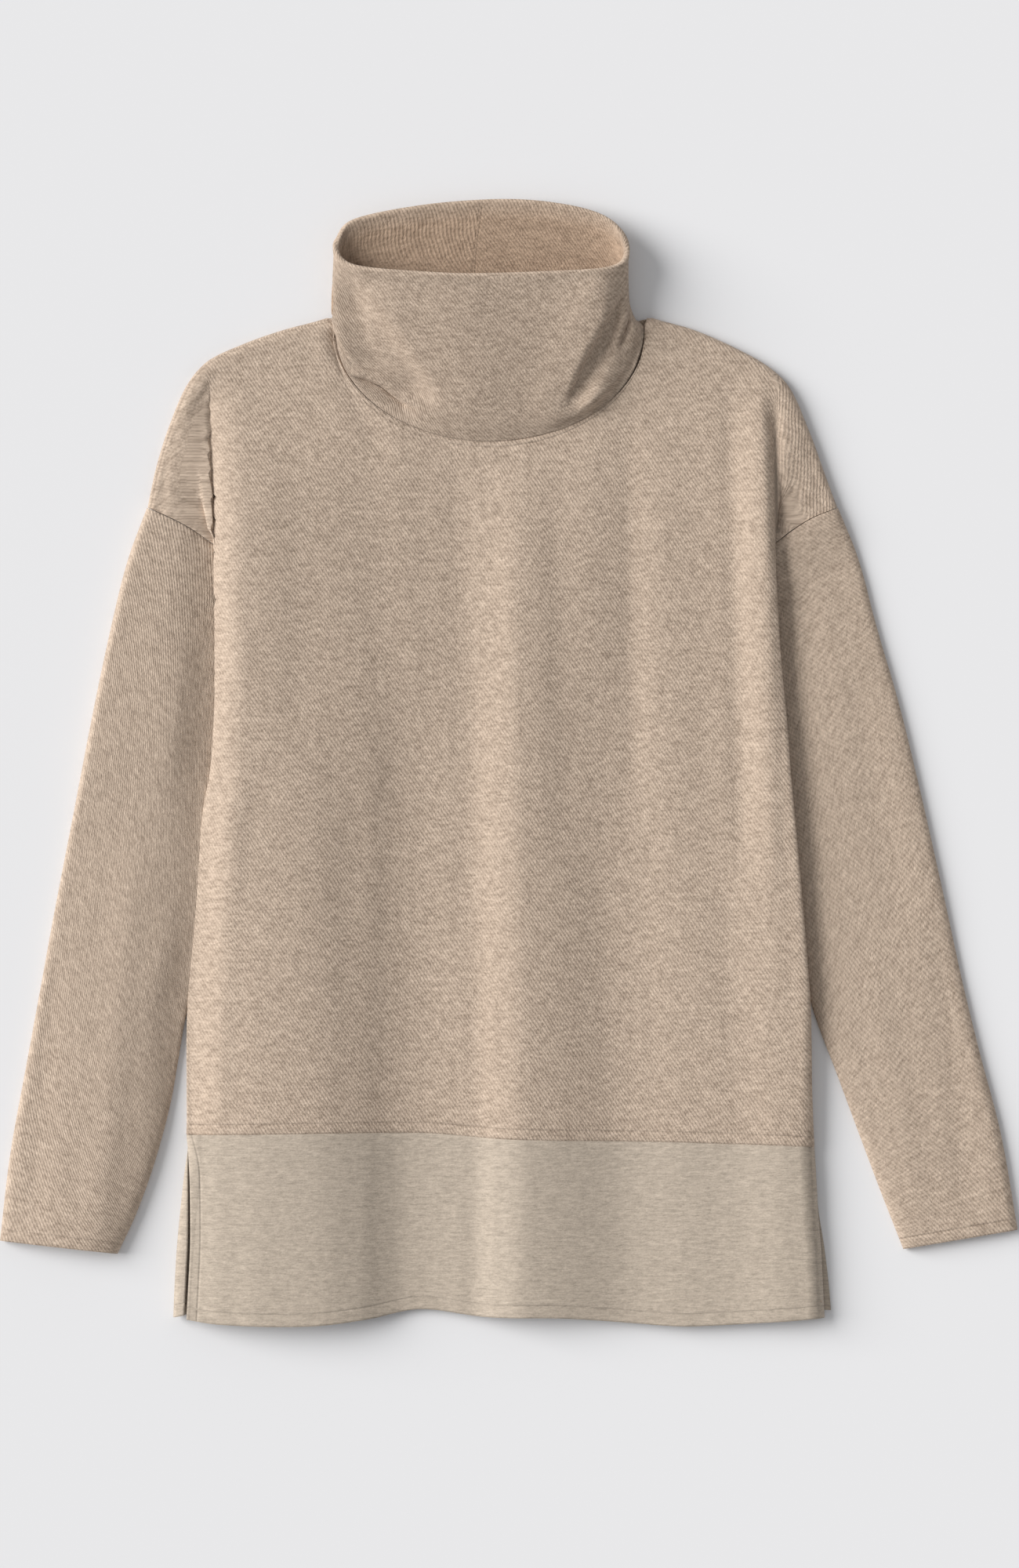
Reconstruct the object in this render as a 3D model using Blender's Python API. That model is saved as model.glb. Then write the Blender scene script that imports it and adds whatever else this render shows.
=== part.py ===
"""Mock-neck tunic laid flat on its back, face up, as a set of cloth pieces.

Sizes in the tables are millimetres, in a frame whose X runs across the garment, whose Y runs from the
hem to the neck and whose Z rises from the surface that it lies on. The origin is under the middle.
Every piece is a sheet, given by its middle surface, and Solidify gives it the cloth's thickness.
"""

import math

import bpy

MM = 0.001

# Cloth
TWILL_THICKNESS = 1.6
COLLAR_THICKNESS = 3.0
SEAM_GAP = 0.4
TABLE_LEVEL = TWILL_THICKNESS / 2
ROLLED_EDGE_LEVEL = 4.15
SHOULDER_ROLL = 5.0
BAND_THICKNESS = 1.4
SIDE_SEAM_EASE = 1.0
ARMHOLE_GAP = 0.7
UNDERARM_GAP = 2.2
SHOULDER_GAP = 0.9
SLIT_ROLL = 12.0
SLIT_EDGE_LEVEL = 3.0
SLIT_GAP_TURN = 9.0

# Grid densities, in quads
CENTRE_COLUMNS = 30
SIDE_COLUMNS = 9
PANEL_ROWS = 9
BAND_ROWS = 5
BACK_COLUMNS = 18
BACK_ROWS = 12
ROLL_STEPS = (0.0, 0.5, 2.0, 5.0)
BACK_ARMHOLE_PART = 0.36
SLEEVE_RINGS = 15
COLLAR_STEPS = 48
COLLAR_RINGS = 9

# Heights of the front above the surface
FRONT_LEVEL = 9.0
CAP_LEVEL = 7.5
NECK_LEVEL = 8.0
LOWEST_FRONT = 3.3
SIDE_ROLL = 16.0

# Neck seam: the front is half an ellipse, the back a shallow curve between the same two ends
NECK = dict(x=-14.5, y=322.5, half_width=115.4, depth=84.1)
NECK_END_ANGLE = math.radians(5.0)
BACK_NECK_DROP = 21.0
COLLAR_INSET = 1.2
BACK_COLLAR_INSET = 2.2
CORNER_INSET = 1.2

# Hem
FRONT_HEM = -402.0
HEM_LINE = [
    # x, y
    (-248.0, -408.0),
    (-214.0, -413.0),
    (-147.0, -414.0),
    (-104.0, -409.0),
    (-66.0, -402.0),
    (-19.0, -407.5),
    (40.0, -408.5),
    (101.0, -413.0),
    (129.0, -414.7),
    (198.0, -411.2),
    (233.0, -408.3),
]
BACK_HEM_LINE = [
    # x, y
    (-248.0, -408.0),
    (-225.0, -404.0),
    (-100.0, -400.0),
    (100.0, -400.0),
    (240.0, -403.0),
]

# Outline of the shoulders, from the neck seam to the end of the dropped shoulder
SHOULDER_LEFT = [
    # x, y
    (-131.0, 329.5),
    (-161.8, 322.5),
    (-196.0, 310.9),
    (-221.0, 299.3),
    (-233.2, 287.7),
    (-240.6, 275.5),
    (-246.5, 262.0),
    (-254.6, 240.0),
    (-261.5, 216.0),
    (-266.8, 190.2),
]
SHOULDER_RIGHT = [
    (102.0, 329.5),
    (131.7, 322.5),
    (160.0, 310.9),
    (182.7, 299.3),
    (198.9, 287.7),
    (208.2, 276.0),
    (214.5, 262.0),
    (223.5, 240.0),
    (232.0, 216.0),
    (241.6, 190.2),
]
PLEAT_START = 3

# Where the front folds over its own side, how far it is tucked back under, and how high the tucked
# edge ends. A negative tuck is a slope that doesn't turn under.
SIDE_FOLD = [
    # y, left fold, left tuck, right fold, right tuck, end height
    (-300.0, 238.5, 0.0, 226.0, 0.0, 2.7),
    (-260.0, 238.0, 0.0, 223.5, 0.0, 2.7),
    (-223.0, 238.0, 2.0, 222.5, 2.0, 2.7),
    (-182.0, 237.8, 6.5, 222.0, 6.5, 2.7),
    (-130.0, 234.3, 16.0, 218.0, 15.0, 2.7),
    (-72.0, 230.3, 29.0, 213.4, 26.0, 2.7),
    (-14.0, 224.5, 40.0, 208.2, 39.0, 2.7),
    (20.0, 221.2, 43.0, 205.5, 45.0, 2.9),
    (28.0, 220.5, 43.0, 205.0, 45.0, 5.6),
    (79.0, 219.3, 33.0, 200.0, 34.0, 7.0),
    (120.0, 219.0, 22.0, 197.0, 23.0, 8.2),
    (163.0, 219.5, 11.0, 194.8, 11.0, 9.3),
    (195.0, 220.5, 6.5, 193.9, 6.5, 9.3),
    (225.0, 221.0, 1.0, 193.0, 1.0, 9.3),
    (250.0, 221.0, -4.0, 192.0, -4.0, 9.3),
    (280.0, 220.0, -8.0, 190.0, -8.0, 9.3),
    (310.0, 219.0, -10.0, 188.0, -10.0, 9.3),
]
UNDERARM_Y = 28.0
TUCK_STARTS_Y = 163.0

# Armhole seam from the end of the shoulder down to where the side fold hides it
ARMHOLE_LEFT = [
    # x, y
    (-266.8, 190.2),
    (-251.5, 183.3),
    (-237.4, 176.0),
    (-226.2, 168.5),
]
ARMHOLE_RIGHT = [
    (241.6, 190.2),
    (224.3, 183.3),
    (212.1, 176.0),
    (201.8, 168.5),
]

# Soft folds of the front, each a ridge or a trough that runs down to the hem
FRONT_FOLDS = [
    # x at top, y at top, x at hem, half width on its left, on its right, height at top, height at hem
    (-187.0, 300.0, -184.0, 40.0, 80.0, 12.5, 10.0),
    (-150.0, 60.0, -128.0, 40.0, 24.0, 2.0, 3.5),
    (-68.0, 110.0, -70.0, 34.0, 40.0, -3.0, -4.8),
    (6.0, 262.0, 6.0, 20.0, 56.0, 7.0, 9.0),
    (66.0, 150.0, 84.0, 30.0, 36.0, -2.0, -2.0),
    (112.0, 270.0, 128.0, 16.0, 34.0, 2.8, 0.5),
    (187.0, 300.0, 206.0, 28.0, 40.0, 9.5, 4.0),
]
FOLD_FADE = 130.0
HIDDEN_ARMHOLE_Y = (152.0, 132.0, 108.0, 82.0, 55.0, 28.0)

# Seam between the front and its hem band, and the two side edges of the bands at the slits
WAIST_SEAM = [
    # x, y
    (-240.0, -273.0),
    (-67.0, -271.5),
    (0.0, -276.0),
    (133.0, -278.5),
    (224.0, -281.5),
]
BAND_EDGE = [
    # y, left fold, turn of the left slit round it in degrees, front right, back right
    (-415.0, 248.0, 77.0, 233.0, 238.2),
    (-402.0, 247.7, 77.0, 232.0, 237.4),
    (-362.0, 245.6, 78.0, 230.2, 233.6),
    (-330.0, 242.7, 65.0, 227.6, 229.0),
    (-300.0, 239.4, 42.0, 226.0, 226.6),
    (-270.0, 238.0, -25.0, 224.0, 225.0),
]

# Sleeves: outer and inner edge from the armhole to the cuff, and the height of the top layer
SLEEVE_LEFT = [
    # share, outer x, outer y, inner x, inner y, crown
    (0.00, -266.8, 190.2, -177.5, 28.0, 9.5),
    (0.12, -281.0, 152.0, -190.5, -14.0, 11.0),
    (0.25, -292.5, 107.0, -205.0, -62.0, 12.5),
    (0.40, -306.5, 42.0, -219.5, -116.0, 13.0),
    (0.55, -322.0, -38.0, -239.0, -182.0, 13.5),
    (0.70, -337.5, -118.0, -250.6, -246.0, 14.0),
    (0.82, -352.0, -198.0, -262.7, -292.0, 14.5),
    (0.92, -368.0, -285.0, -277.0, -332.0, 15.0),
    (1.00, -376.0, -351.5, -290.5, -360.8, 15.5),
]
SLEEVE_RIGHT = [
    (0.00, 241.6, 190.2, 160.5, 28.0, 9.5),
    (0.12, 257.0, 152.0, 175.0, -14.0, 11.0),
    (0.25, 270.5, 102.0, 193.0, -66.0, 12.5),
    (0.40, 288.0, 42.0, 209.5, -122.0, 13.0),
    (0.55, 307.0, -37.0, 225.5, -182.0, 13.5),
    (0.70, 325.0, -118.0, 240.5, -222.0, 14.0),
    (0.82, 341.0, -190.0, 258.0, -269.0, 14.5),
    (0.92, 362.0, -270.0, 275.5, -315.5, 15.0),
    (1.00, 375.0, -343.5, 292.0, -357.5, 15.5),
]
SLEEVE_EDGE_HEIGHT = 7.0
SLEEVE_LEAN_LEFT = 1.5
SLEEVE_LEAN_RIGHT = 0.85
SLEEVE_CLEAR_OF_SIDE = 8.0

# Collar: for each station round the neck, a low point by the seam, a middle point and the rim
COLLAR = [
    # seam angle, low x, y, z, middle x, y, z, rim x, y, z
    (-90.0, -16.2, 262.0, 16.0, -22.0, 317.0, 27.5, -27.3, 359.6, 35.0),
    (-115.0, -46.0, 265.0, 15.5, -53.0, 317.0, 26.8, -62.0, 361.0, 34.0),
    (-133.0, -66.0, 277.0, 14.5, -95.0, 317.0, 23.5, -104.0, 364.5, 31.0),
    (-145.0, -88.0, 283.0, 12.0, -111.0, 317.0, 18.0, -121.0, 369.5, 27.0),
    (-157.0, -113.0, 293.0, 11.0, -125.5, 320.0, 15.5, -127.6, 379.0, 23.0),
    (-180.0, -127.0, 325.0, 9.8, -129.5, 339.0, 13.5, -126.0, 389.0, 19.0),
    (150.0, -104.0, 331.0, 4.2, -114.0, 363.0, 6.5, -113.5, 401.4, 14.0),
    (115.0, -58.0, 321.0, 2.0, -61.0, 369.0, 5.0, -61.0, 412.0, 11.0),
    (90.0, -14.5, 319.0, 2.0, -14.5, 367.0, 4.5, -8.0, 416.0, 10.0),
    (65.0, 29.0, 321.0, 2.0, 32.0, 369.0, 5.0, 32.0, 413.5, 11.0),
    (30.0, 74.0, 331.0, 4.2, 73.0, 363.0, 6.5, 67.0, 405.0, 14.0),
    (0.0, 92.0, 328.0, 9.0, 86.5, 345.5, 13.0, 83.5, 391.0, 21.0),
    (-17.0, 83.0, 310.0, 7.5, 85.0, 333.5, 14.5, 86.3, 378.0, 25.0),
    (-32.0, 67.0, 294.0, 8.4, 77.0, 331.0, 17.0, 81.5, 368.5, 29.0),
    (-47.0, 46.5, 276.0, 12.0, 65.5, 329.0, 25.0, 66.0, 363.6, 32.5),
    (-68.0, 18.0, 265.0, 15.2, 24.0, 319.0, 27.4, 22.0, 361.0, 34.5),
]


def blended(rows, at):
    """A smooth curve through the rows of a table whose first column rises, read at one value."""
    first, last = rows[0], rows[-1]
    at = min(max(at, first[0]), last[0])
    index = 0
    while index < len(rows) - 2 and at > rows[index + 1][0]:
        index += 1
    low, high = rows[index], rows[index + 1]
    before = rows[max(index - 1, 0)]
    after = rows[min(index + 2, len(rows) - 1)]
    span = high[0] - low[0]
    share = (at - low[0]) / span
    values = []
    for column in range(1, len(first)):
        slope_in = (high[column] - before[column]) / (high[0] - before[0]) * span
        slope_out = (after[column] - low[column]) / (after[0] - low[0]) * span
        values.append(
            (2 * share**3 - 3 * share**2 + 1) * low[column]
            + (share**3 - 2 * share**2 + share) * slope_in
            + (3 * share**2 - 2 * share**3) * high[column]
            + (share**3 - share**2) * slope_out
        )
    return values


def keyed_by_length(points):
    """The rows of a table for blended(): how far along the line each point is, from 0 to 1, and the point."""
    lengths = [0.0]
    for a, b in zip(points, points[1:]):
        lengths.append(lengths[-1] + math.dist(a[:2], b[:2]))
    return [(length / lengths[-1], *point) for length, point in zip(lengths, points)]


def mix(a, b, share):
    return a + (b - a) * share


def ramp(low, high, value):
    """0 below low, 1 above high, and smooth between."""
    share = min(max((value - low) / (high - low), 0.0), 1.0)
    return share * share * (3 - 2 * share)


def side_of(sign, y):
    """Fold, tuck and end height of the front's side at this y, as distances out from the middle."""
    left_fold, left_tuck, right_fold, right_tuck, end = blended(SIDE_FOLD, y)
    return (left_fold, left_tuck, end) if sign < 0 else (right_fold, right_tuck, end)


def overhang(tuck):
    """How strongly the side profile turns back on itself, and the share at which it does, for a tuck."""
    if tuck <= 0:
        return max(1 + tuck / 10, 0.0), 0.0
    low, high = 1.0, 30.0
    for _ in range(40):
        strength = (low + high) / 2
        turn = math.acos(1 / strength) / math.pi
        reach = 2 * SIDE_ROLL * (strength * math.sin(math.pi * turn) / math.pi - turn)
        low, high = (strength, high) if reach < tuck else (low, strength)
    return strength, turn


def seam_distance(sign, y):
    """How far out the side seam, or the hidden part of the armhole seam, lies under the fold."""
    fold, tuck, _ = side_of(sign, y)
    return fold - max(tuck, 0.0)


def front_height(x, y):
    """Height of the front's middle surface, away from its sides."""
    level = FRONT_LEVEL - 1.0 * ramp(150, 300, y)
    for x_top, y_top, x_hem, left_width, right_width, height_top, height_hem in FRONT_FOLDS:
        share = min(max((y_top - y) / (y_top - FRONT_HEM), 0.0), 1.0)
        centre = mix(x_top, x_hem, share)
        strength = mix(height_top, height_hem, share) * (1 - ramp(y_top - FOLD_FADE, y_top, y))
        width = left_width if x < centre else right_width
        level += strength * math.exp(-(((x - centre) / width) ** 2))
    return max(level, LOWEST_FRONT)


def side_point(sign, y, share):
    """A point of the front's side profile. share is 1 where it leaves the top and falls on the way out."""
    fold, tuck, end = side_of(sign, y)
    strength, turn = overhang(tuck)
    centre = fold - max(tuck, 0.0) / 2
    out = centre - SIDE_ROLL * (share - strength * math.sin(math.pi * share) / math.pi)
    top = front_height(sign * out, y)
    rise = min(max((share + turn) / (1 + turn), 0.0), 1.0)
    tucked = end + (top - end) * math.sin(math.pi / 2 * rise) ** 0.8
    laid = CAP_LEVEL + (top - CAP_LEVEL) * (0.5 + 0.5 * math.sin(math.pi / 2 * share))
    cap = ramp(TUCK_STARTS_Y - 8, TUCK_STARTS_Y + 22, y)
    return sign * out, mix(tucked, laid, cap)


def side_share_at(sign, y, out):
    """The share at which the lower layer of the side profile is this far out, or its turn if it never is."""
    fold, tuck, _ = side_of(sign, y)
    strength, turn = overhang(tuck)
    centre = fold - max(tuck, 0.0) / 2
    near, far = -1.0, -turn
    if out <= fold - max(tuck, 0.0):
        return -turn
    for _ in range(30):
        share = (near + far) / 2
        reached = centre - SIDE_ROLL * (share - strength * math.sin(math.pi * share) / math.pi)
        near, far = (near, share) if reached < out else (share, far)
    return share


def shoulder_edge(sign):
    return SHOULDER_LEFT if sign < 0 else SHOULDER_RIGHT


def armhole_line(sign):
    """The armhole seam, from the shoulder's end to the underarm, as (x, y)."""
    seam = list(ARMHOLE_LEFT if sign < 0 else ARMHOLE_RIGHT)
    for y in HIDDEN_ARMHOLE_Y:
        seam.append((sign * seam_distance(sign, y), y))
    return seam


def cloth(name, grid, material, thickness=TWILL_THICKNESS, closed=False, up=True):
    """One piece of cloth from rows of points on its middle surface, given in millimetres."""
    columns = len(grid[0])
    points = [[c * MM for c in point] for row in grid for point in row]
    faces = []
    for j in range(len(grid) - 1):
        for i in range(columns if closed else columns - 1):
            a, b = j * columns + i, j * columns + (i + 1) % columns
            face = (a, b, b + columns, a + columns)
            faces.append(face if up else face[::-1])
    mesh = bpy.data.meshes.new(name)
    mesh.from_pydata(points, [], faces)
    mesh.validate()
    mesh.shade_smooth()
    mesh.materials.append(material)
    piece = bpy.data.objects.new(name, mesh)
    bpy.context.scene.collection.objects.link(piece)
    split = piece.modifiers.new("Split", "TRIANGULATE")
    split.quad_method = "SHORTEST_DIAGONAL"
    wall = piece.modifiers.new("Wall", "SOLIDIFY")
    wall.thickness = thickness * MM
    wall.offset = 0.0
    return piece


def plain_material(name, colour, roughness):
    material = bpy.data.materials.new(name)
    material.use_nodes = True
    shader = material.node_tree.nodes["Principled BSDF"]
    shader.inputs["Base Color"].default_value = (*colour, 1.0)
    shader.inputs["Roughness"].default_value = roughness
    material.diffuse_color = (*colour, 1.0)
    return material


def neck_front(share, inset):
    """A point of the front neck seam, from its left end to its right end."""
    angle = mix(-math.pi + NECK_END_ANGLE, -NECK_END_ANGLE, share)
    return (
        NECK["x"] + (NECK["half_width"] - inset) * math.cos(angle),
        NECK["y"] + (NECK["depth"] - inset) * math.sin(angle),
    )


def neck_back(share, outset):
    """A point of the back neck seam, from its left end to its right end."""
    half = NECK["half_width"]
    x = NECK["x"] + half * mix(-1, 1, share)
    bow = 1 - (2 * share - 1) ** 2
    return x, SHOULDER_LEFT[0][1] - BACK_NECK_DROP * bow + outset


def spread(start, stop, count):
    return [mix(start, stop, i / count) for i in range(count + 1)]


def top_edge(shoulder_steps, neck_steps, neck_point):
    """The upper edge of a body panel: left shoulder from the pleat, the neck, right shoulder to the pleat."""
    left = keyed_by_length(SHOULDER_LEFT[: PLEAT_START + 1][::-1])
    right = keyed_by_length(SHOULDER_RIGHT[: PLEAT_START + 1])
    edge = [tuple(blended(left, s)) for s in spread(0, 1, shoulder_steps)]
    edge += [neck_point(s) for s in spread(0, 1, neck_steps)]
    edge += [tuple(blended(right, s)) for s in spread(0, 1, shoulder_steps)]
    return edge


def panel_shares():
    """Shares down the front, close together at the rolled shoulder edge and just under the arm."""
    stops = [y for _, y in ARMHOLE_LEFT[1:]] + list(HIDDEN_ARMHOLE_Y) + [UNDERARM_Y - 8.0]
    shares = [0.0, 0.0016, 0.005, 0.0105]
    for y in stops:
        low, high = 0.0, 1.0
        for _ in range(40):
            middle = (low + high) / 2
            above = panel_side_y(mix(SHOULDER_LEFT[PLEAT_START][1], WAIST_SEAM[0][1], middle), middle) > y
            low, high = (middle, high) if above else (low, middle)
        shares.append(low)
    return shares + spread(shares[-1], 1.0, PANEL_ROWS)[1:]


def waist_y(x):
    return blended(WAIST_SEAM, x)[0]


def rolled(level, depth):
    """Height near a rolled edge: it is ROLLED_EDGE_LEVEL at the edge and level from SHOULDER_ROLL in."""
    share = min(max(depth / SHOULDER_ROLL, 0.0), 1.0)
    return mix(ROLLED_EDGE_LEVEL, level, math.sqrt(1 - (1 - share) ** 2))


def distance_to(line, x, y):
    """Distance in plan from a point to a line of short straight runs."""
    best = 1e9
    for (ax, ay), (bx, by) in zip(line, line[1:]):
        dx, dy = bx - ax, by - ay
        share = ((x - ax) * dx + (y - ay) * dy) / (dx * dx + dy * dy)
        share = min(max(share, 0.0), 1.0)
        best = min(best, math.hypot(x - ax - share * dx, y - ay - share * dy))
    return best


def shoulder_lines():
    fine = []
    for edge in (SHOULDER_LEFT, SHOULDER_RIGHT):
        keyed = keyed_by_length(edge)
        fine.append([tuple(blended(keyed, s)) for s in spread(0, 1, 40)])
    return fine


SHOULDER_FINE = shoulder_lines()


def shoulder_depth(x, y):
    """How far inside the shoulders' outline a point lies."""
    return min(distance_to(line, x, y) for line in SHOULDER_FINE)


def panel_side_y(y_fold, down):
    """y at the seam of the row that crosses the side fold at y_fold."""
    return y_fold - (SHOULDER_LEFT[PLEAT_START][1] - SHOULDER_LEFT[-1][1]) * (1 - down) ** 3


def front_side_strip(sign, down, y_bottom):
    """Points of one row of the front, from the seam out and round the side fold to the top."""
    shoulder = shoulder_edge(sign)
    pleat_x, pleat_y = shoulder[PLEAT_START]
    y_fold = mix(pleat_y, y_bottom, down)
    y_seam = panel_side_y(y_fold, down)
    out_seam = seam_distance(sign, y_seam)
    line = armhole_line(sign)
    for (ax, ay), (bx, by) in zip(line, line[1:]):
        if ay >= y_seam >= by - 0.01:
            out_seam = abs(mix(ax, bx, (ay - y_seam) / (ay - by)))
    edge = keyed_by_length(shoulder[PLEAT_START:][::-1])
    start = side_share_at(sign, y_seam, out_seam)
    on_cap = max(out_seam - (side_of(sign, y_seam)[0] + SIDE_ROLL), 0.0)
    points = []
    for i in range(SIDE_COLUMNS + 1):
        share = i / SIDE_COLUMNS
        edge_x, edge_y = blended(edge, share)
        lift = (edge_y - mix(shoulder[-1][1], pleat_y, share)) * (1 - down) ** 3
        y = mix(y_seam, y_fold, share) + lift
        if on_cap > 0:
            cap_part = min(0.55, on_cap / (on_cap + 3 * SIDE_ROLL))
            if share < cap_part:
                x = sign * (out_seam - on_cap * share / cap_part)
                z = CAP_LEVEL
            else:
                x, z = side_point(sign, y, mix(-1, 1, (share - cap_part) / (1 - cap_part)))
        else:
            x, z = side_point(sign, y, mix(start, 1, share))
        pull = (1 - down) ** 14 if i else 0.0
        pull *= mix(ramp(0.0, 0.35, share), 1.0, (1 - down) ** 90)
        x = mix(x, edge_x, pull)
        points.append([x, y, z])
    return points


def front_panel(material):
    """The front of the body, from the shoulders and neck to the seam of the hem band."""
    top = top_edge(6, CENTRE_COLUMNS - 14, lambda s: neck_front(s, -SEAM_GAP / 2))
    pleat_y = SHOULDER_LEFT[PLEAT_START][1]
    grid = []
    for down in panel_shares():
        row = []
        left = front_side_strip(-1, down, WAIST_SEAM[0][1])
        right = front_side_strip(1, down, WAIST_SEAM[-1][1])
        centre = []
        for i, (edge_x, edge_y) in enumerate(top):
            share = i / (len(top) - 1)
            y_fold = mix(pleat_y, waist_y(mix(left[-1][0], right[-1][0], share)), down)
            x = mix(left[-1][0], right[-1][0], share)
            x = mix(x, edge_x, (1 - down) ** 4)
            y = y_fold + (edge_y - pleat_y) * (1 - down) ** 3
            centre.append([x, y, front_height(x, y)])
        row = left[:-1] + centre + right[::-1][1:]
        for point in row:
            point[2] = rolled(point[2], shoulder_depth(point[0], point[1]))
        grid.append(row)
    return cloth("front_panel", grid, material, up=False)


def level_back(depth):
    """Height of the back near the rolled shoulder edge."""
    share = min(max(depth / SHOULDER_ROLL, 0.0), 1.0)
    return mix(ROLLED_EDGE_LEVEL - SHOULDER_GAP, TABLE_LEVEL, math.sqrt(1 - (1 - share) ** 2))


def back_side(sign):
    """The back's side edge, from the shoulder's end down the armhole and the side seam, as (x, y)."""
    line = armhole_line(sign)
    for y in (20.0, 5.0, -14.0, -50.0, -90.0, -130.0, -182.0, -225.0, -273.0):
        line.append((sign * (seam_distance(sign, y) + SIDE_SEAM_EASE * ramp(28, 10, y)), y))
    return line


def along(points, share):
    """A point part of the way along a line of straight runs."""
    keyed = keyed_by_length(points)
    for a, b in zip(keyed, keyed[1:]):
        if share <= b[0]:
            part = (share - a[0]) / (b[0] - a[0])
            return mix(a[1], b[1], part), mix(a[2], b[2], part)
    return keyed[-1][1], keyed[-1][2]


def back_panel(material):
    """The back of the body, flat on the surface, from the shoulders and neck to the seam of the hem band."""
    left = keyed_by_length(SHOULDER_LEFT[::-1])
    right = keyed_by_length(SHOULDER_RIGHT)
    top = [tuple(blended(left, s)) for s in spread(0, 1, 9)[:-1]]
    top += [neck_back(s, 0.0) for s in spread(0, 1, BACK_COLUMNS - 8)]
    top += [tuple(blended(right, s)) for s in spread(0, 1, 9)[1:]]
    sides = back_side(-1), back_side(1)
    waist_left, waist_right = sides[0][-1], sides[1][-1]
    under_arm = [keyed_by_length(side)[len(armhole_line(-1)) - 1][0] for side in sides]
    stops = [armhole_shares(sign) for sign in (-1, 1)]
    grid = []
    for step in range(len(stops[0]) + BACK_ROWS):
        if step < len(stops[0]):
            fractions = [stops[0][step] * under_arm[0], stops[1][step] * under_arm[1]]
            down = stops[0][step] * BACK_ARMHOLE_PART
        else:
            part = (step - len(stops[0]) + 1) / BACK_ROWS
            fractions = [mix(arm, 1.0, part) for arm in under_arm]
            down = mix(BACK_ARMHOLE_PART, 1.0, part)
        edge_left = along(sides[0], fractions[0])
        edge_right = along(sides[1], fractions[1])
        row = []
        for i, (top_x, top_y) in enumerate(top):
            share = i / (len(top) - 1)
            bottom_x = mix(waist_left[0], waist_right[0], share)
            bottom_y = waist_y(bottom_x)
            x = mix(top_x, bottom_x, down) + mix(
                edge_left[0] - mix(top[0][0], waist_left[0], down),
                edge_right[0] - mix(top[-1][0], waist_right[0], down),
                share,
            )
            y = mix(top_y, bottom_y, down) + mix(
                edge_left[1] - mix(top[0][1], waist_left[1], down),
                edge_right[1] - mix(top[-1][1], waist_right[1], down),
                share,
            )
            row.append([x, y, level_back(shoulder_depth(x, y))])
        grid.append(row)
    return cloth("back_panel", grid, material, up=False)


def armhole_shares(sign):
    """Where the armhole seam has its points, as shares of its length, with more by the rolled edge."""
    keyed = keyed_by_length(armhole_line(sign))
    length = sum(math.dist(a[1:], b[1:]) for a, b in zip(keyed, keyed[1:]))
    return [d / length for d in ROLL_STEPS] + [row[0] for row in keyed[1:]]


def sleeve(sign, name, table, material):
    """One sleeve, a flattened tube from the armhole seam to the cuff."""
    armhole = armhole_line(sign)
    lean = SLEEVE_LEAN_LEFT if sign < 0 else SLEEVE_LEAN_RIGHT
    grid = []
    for k in range(SLEEVE_RINGS + 1):
        reach = (k / SLEEVE_RINGS) ** 1.15
        outer_x, outer_y, inner_x, inner_y, crown = blended(table, reach)
        width = math.dist((outer_x, outer_y), (inner_x, inner_y))
        places = [share * width for share in armhole_shares(sign)[len(ROLL_STEPS) : -1]]
        top = list(ROLL_STEPS) + places + [width - d for d in reversed(ROLL_STEPS)]
        under = top[-2:0:-1]
        ring = []
        for layer, places in (("top", top), ("under", under)):
            for across in places:
                share = across / width
                x, y = mix(outer_x, inner_x, share), mix(outer_y, inner_y, share)
                seam_x, seam_y = along(armhole, share)
                line_x = mix(armhole[0][0], armhole[-1][0], share)
                line_y = mix(armhole[0][1], armhole[-1][1], share)
                hold = (1 - reach) ** 3
                gap = ARMHOLE_GAP + UNDERARM_GAP * ramp(0.8, 1.0, share)
                x += (seam_x - line_x + sign * gap) * hold
                y += (seam_y - line_y - ARMHOLE_GAP) * hold
                fold, tuck, end = side_of(sign, y)
                out = sign * x - seam_distance(sign, y)
                start = min(SLEEVE_EDGE_HEIGHT + 0.3, end - 2.1) if y >= UNDERARM_Y else 3.4
                low = mix(start, SLEEVE_EDGE_HEIGHT + 0.3, ramp(0, 26, out))
                clear_of_side = ramp(SLEEVE_CLEAR_OF_SIDE, 30.0, sign * x - fold)
                high = low + (crown - low) * math.sin(math.pi * share**lean) ** 0.55 * clear_of_side
                edge = mix(ROLLED_EDGE_LEVEL, (TABLE_LEVEL + low) / 2, ramp(0.2, 0.8, share))
                depth = min(across, width - across) / SHOULDER_ROLL
                roll = math.sqrt(1 - (1 - min(depth, 1.0)) ** 2)
                z = mix(edge, high if layer == "top" else TABLE_LEVEL, roll)
                ring.append([x, y, z])
        grid.append(ring)
    return cloth(name, grid, material, closed=True, up=sign > 0)


def collar_base(angle):
    """A point on the collar's seam. The angle runs from -180 to 180 degrees, with the front below zero."""
    turn = math.radians(angle)
    x = NECK["x"] + (NECK["half_width"] - COLLAR_INSET) * math.cos(turn)
    from_side = min(abs(angle), 180 - abs(angle))
    if angle <= 0:
        y = NECK["y"] + (NECK["depth"] - COLLAR_INSET) * math.sin(turn)
        x -= math.copysign(CORNER_INSET, math.cos(turn)) * ramp(26, 8, from_side)
        return x, y, mix(6.0, NECK_LEVEL, ramp(0, 14, from_side))
    bow = 1 - ((x - NECK["x"]) / NECK["half_width"]) ** 2
    y = SHOULDER_LEFT[0][1] - BACK_NECK_DROP * bow + BACK_COLLAR_INSET
    y = mix(NECK["y"], y, ramp(0, 26, from_side))
    x -= math.copysign(CORNER_INSET, math.cos(turn)) * ramp(40, 10, from_side)
    return x, y, mix(6.0, COLLAR_THICKNESS / 2, ramp(0, 30, from_side))


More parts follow.
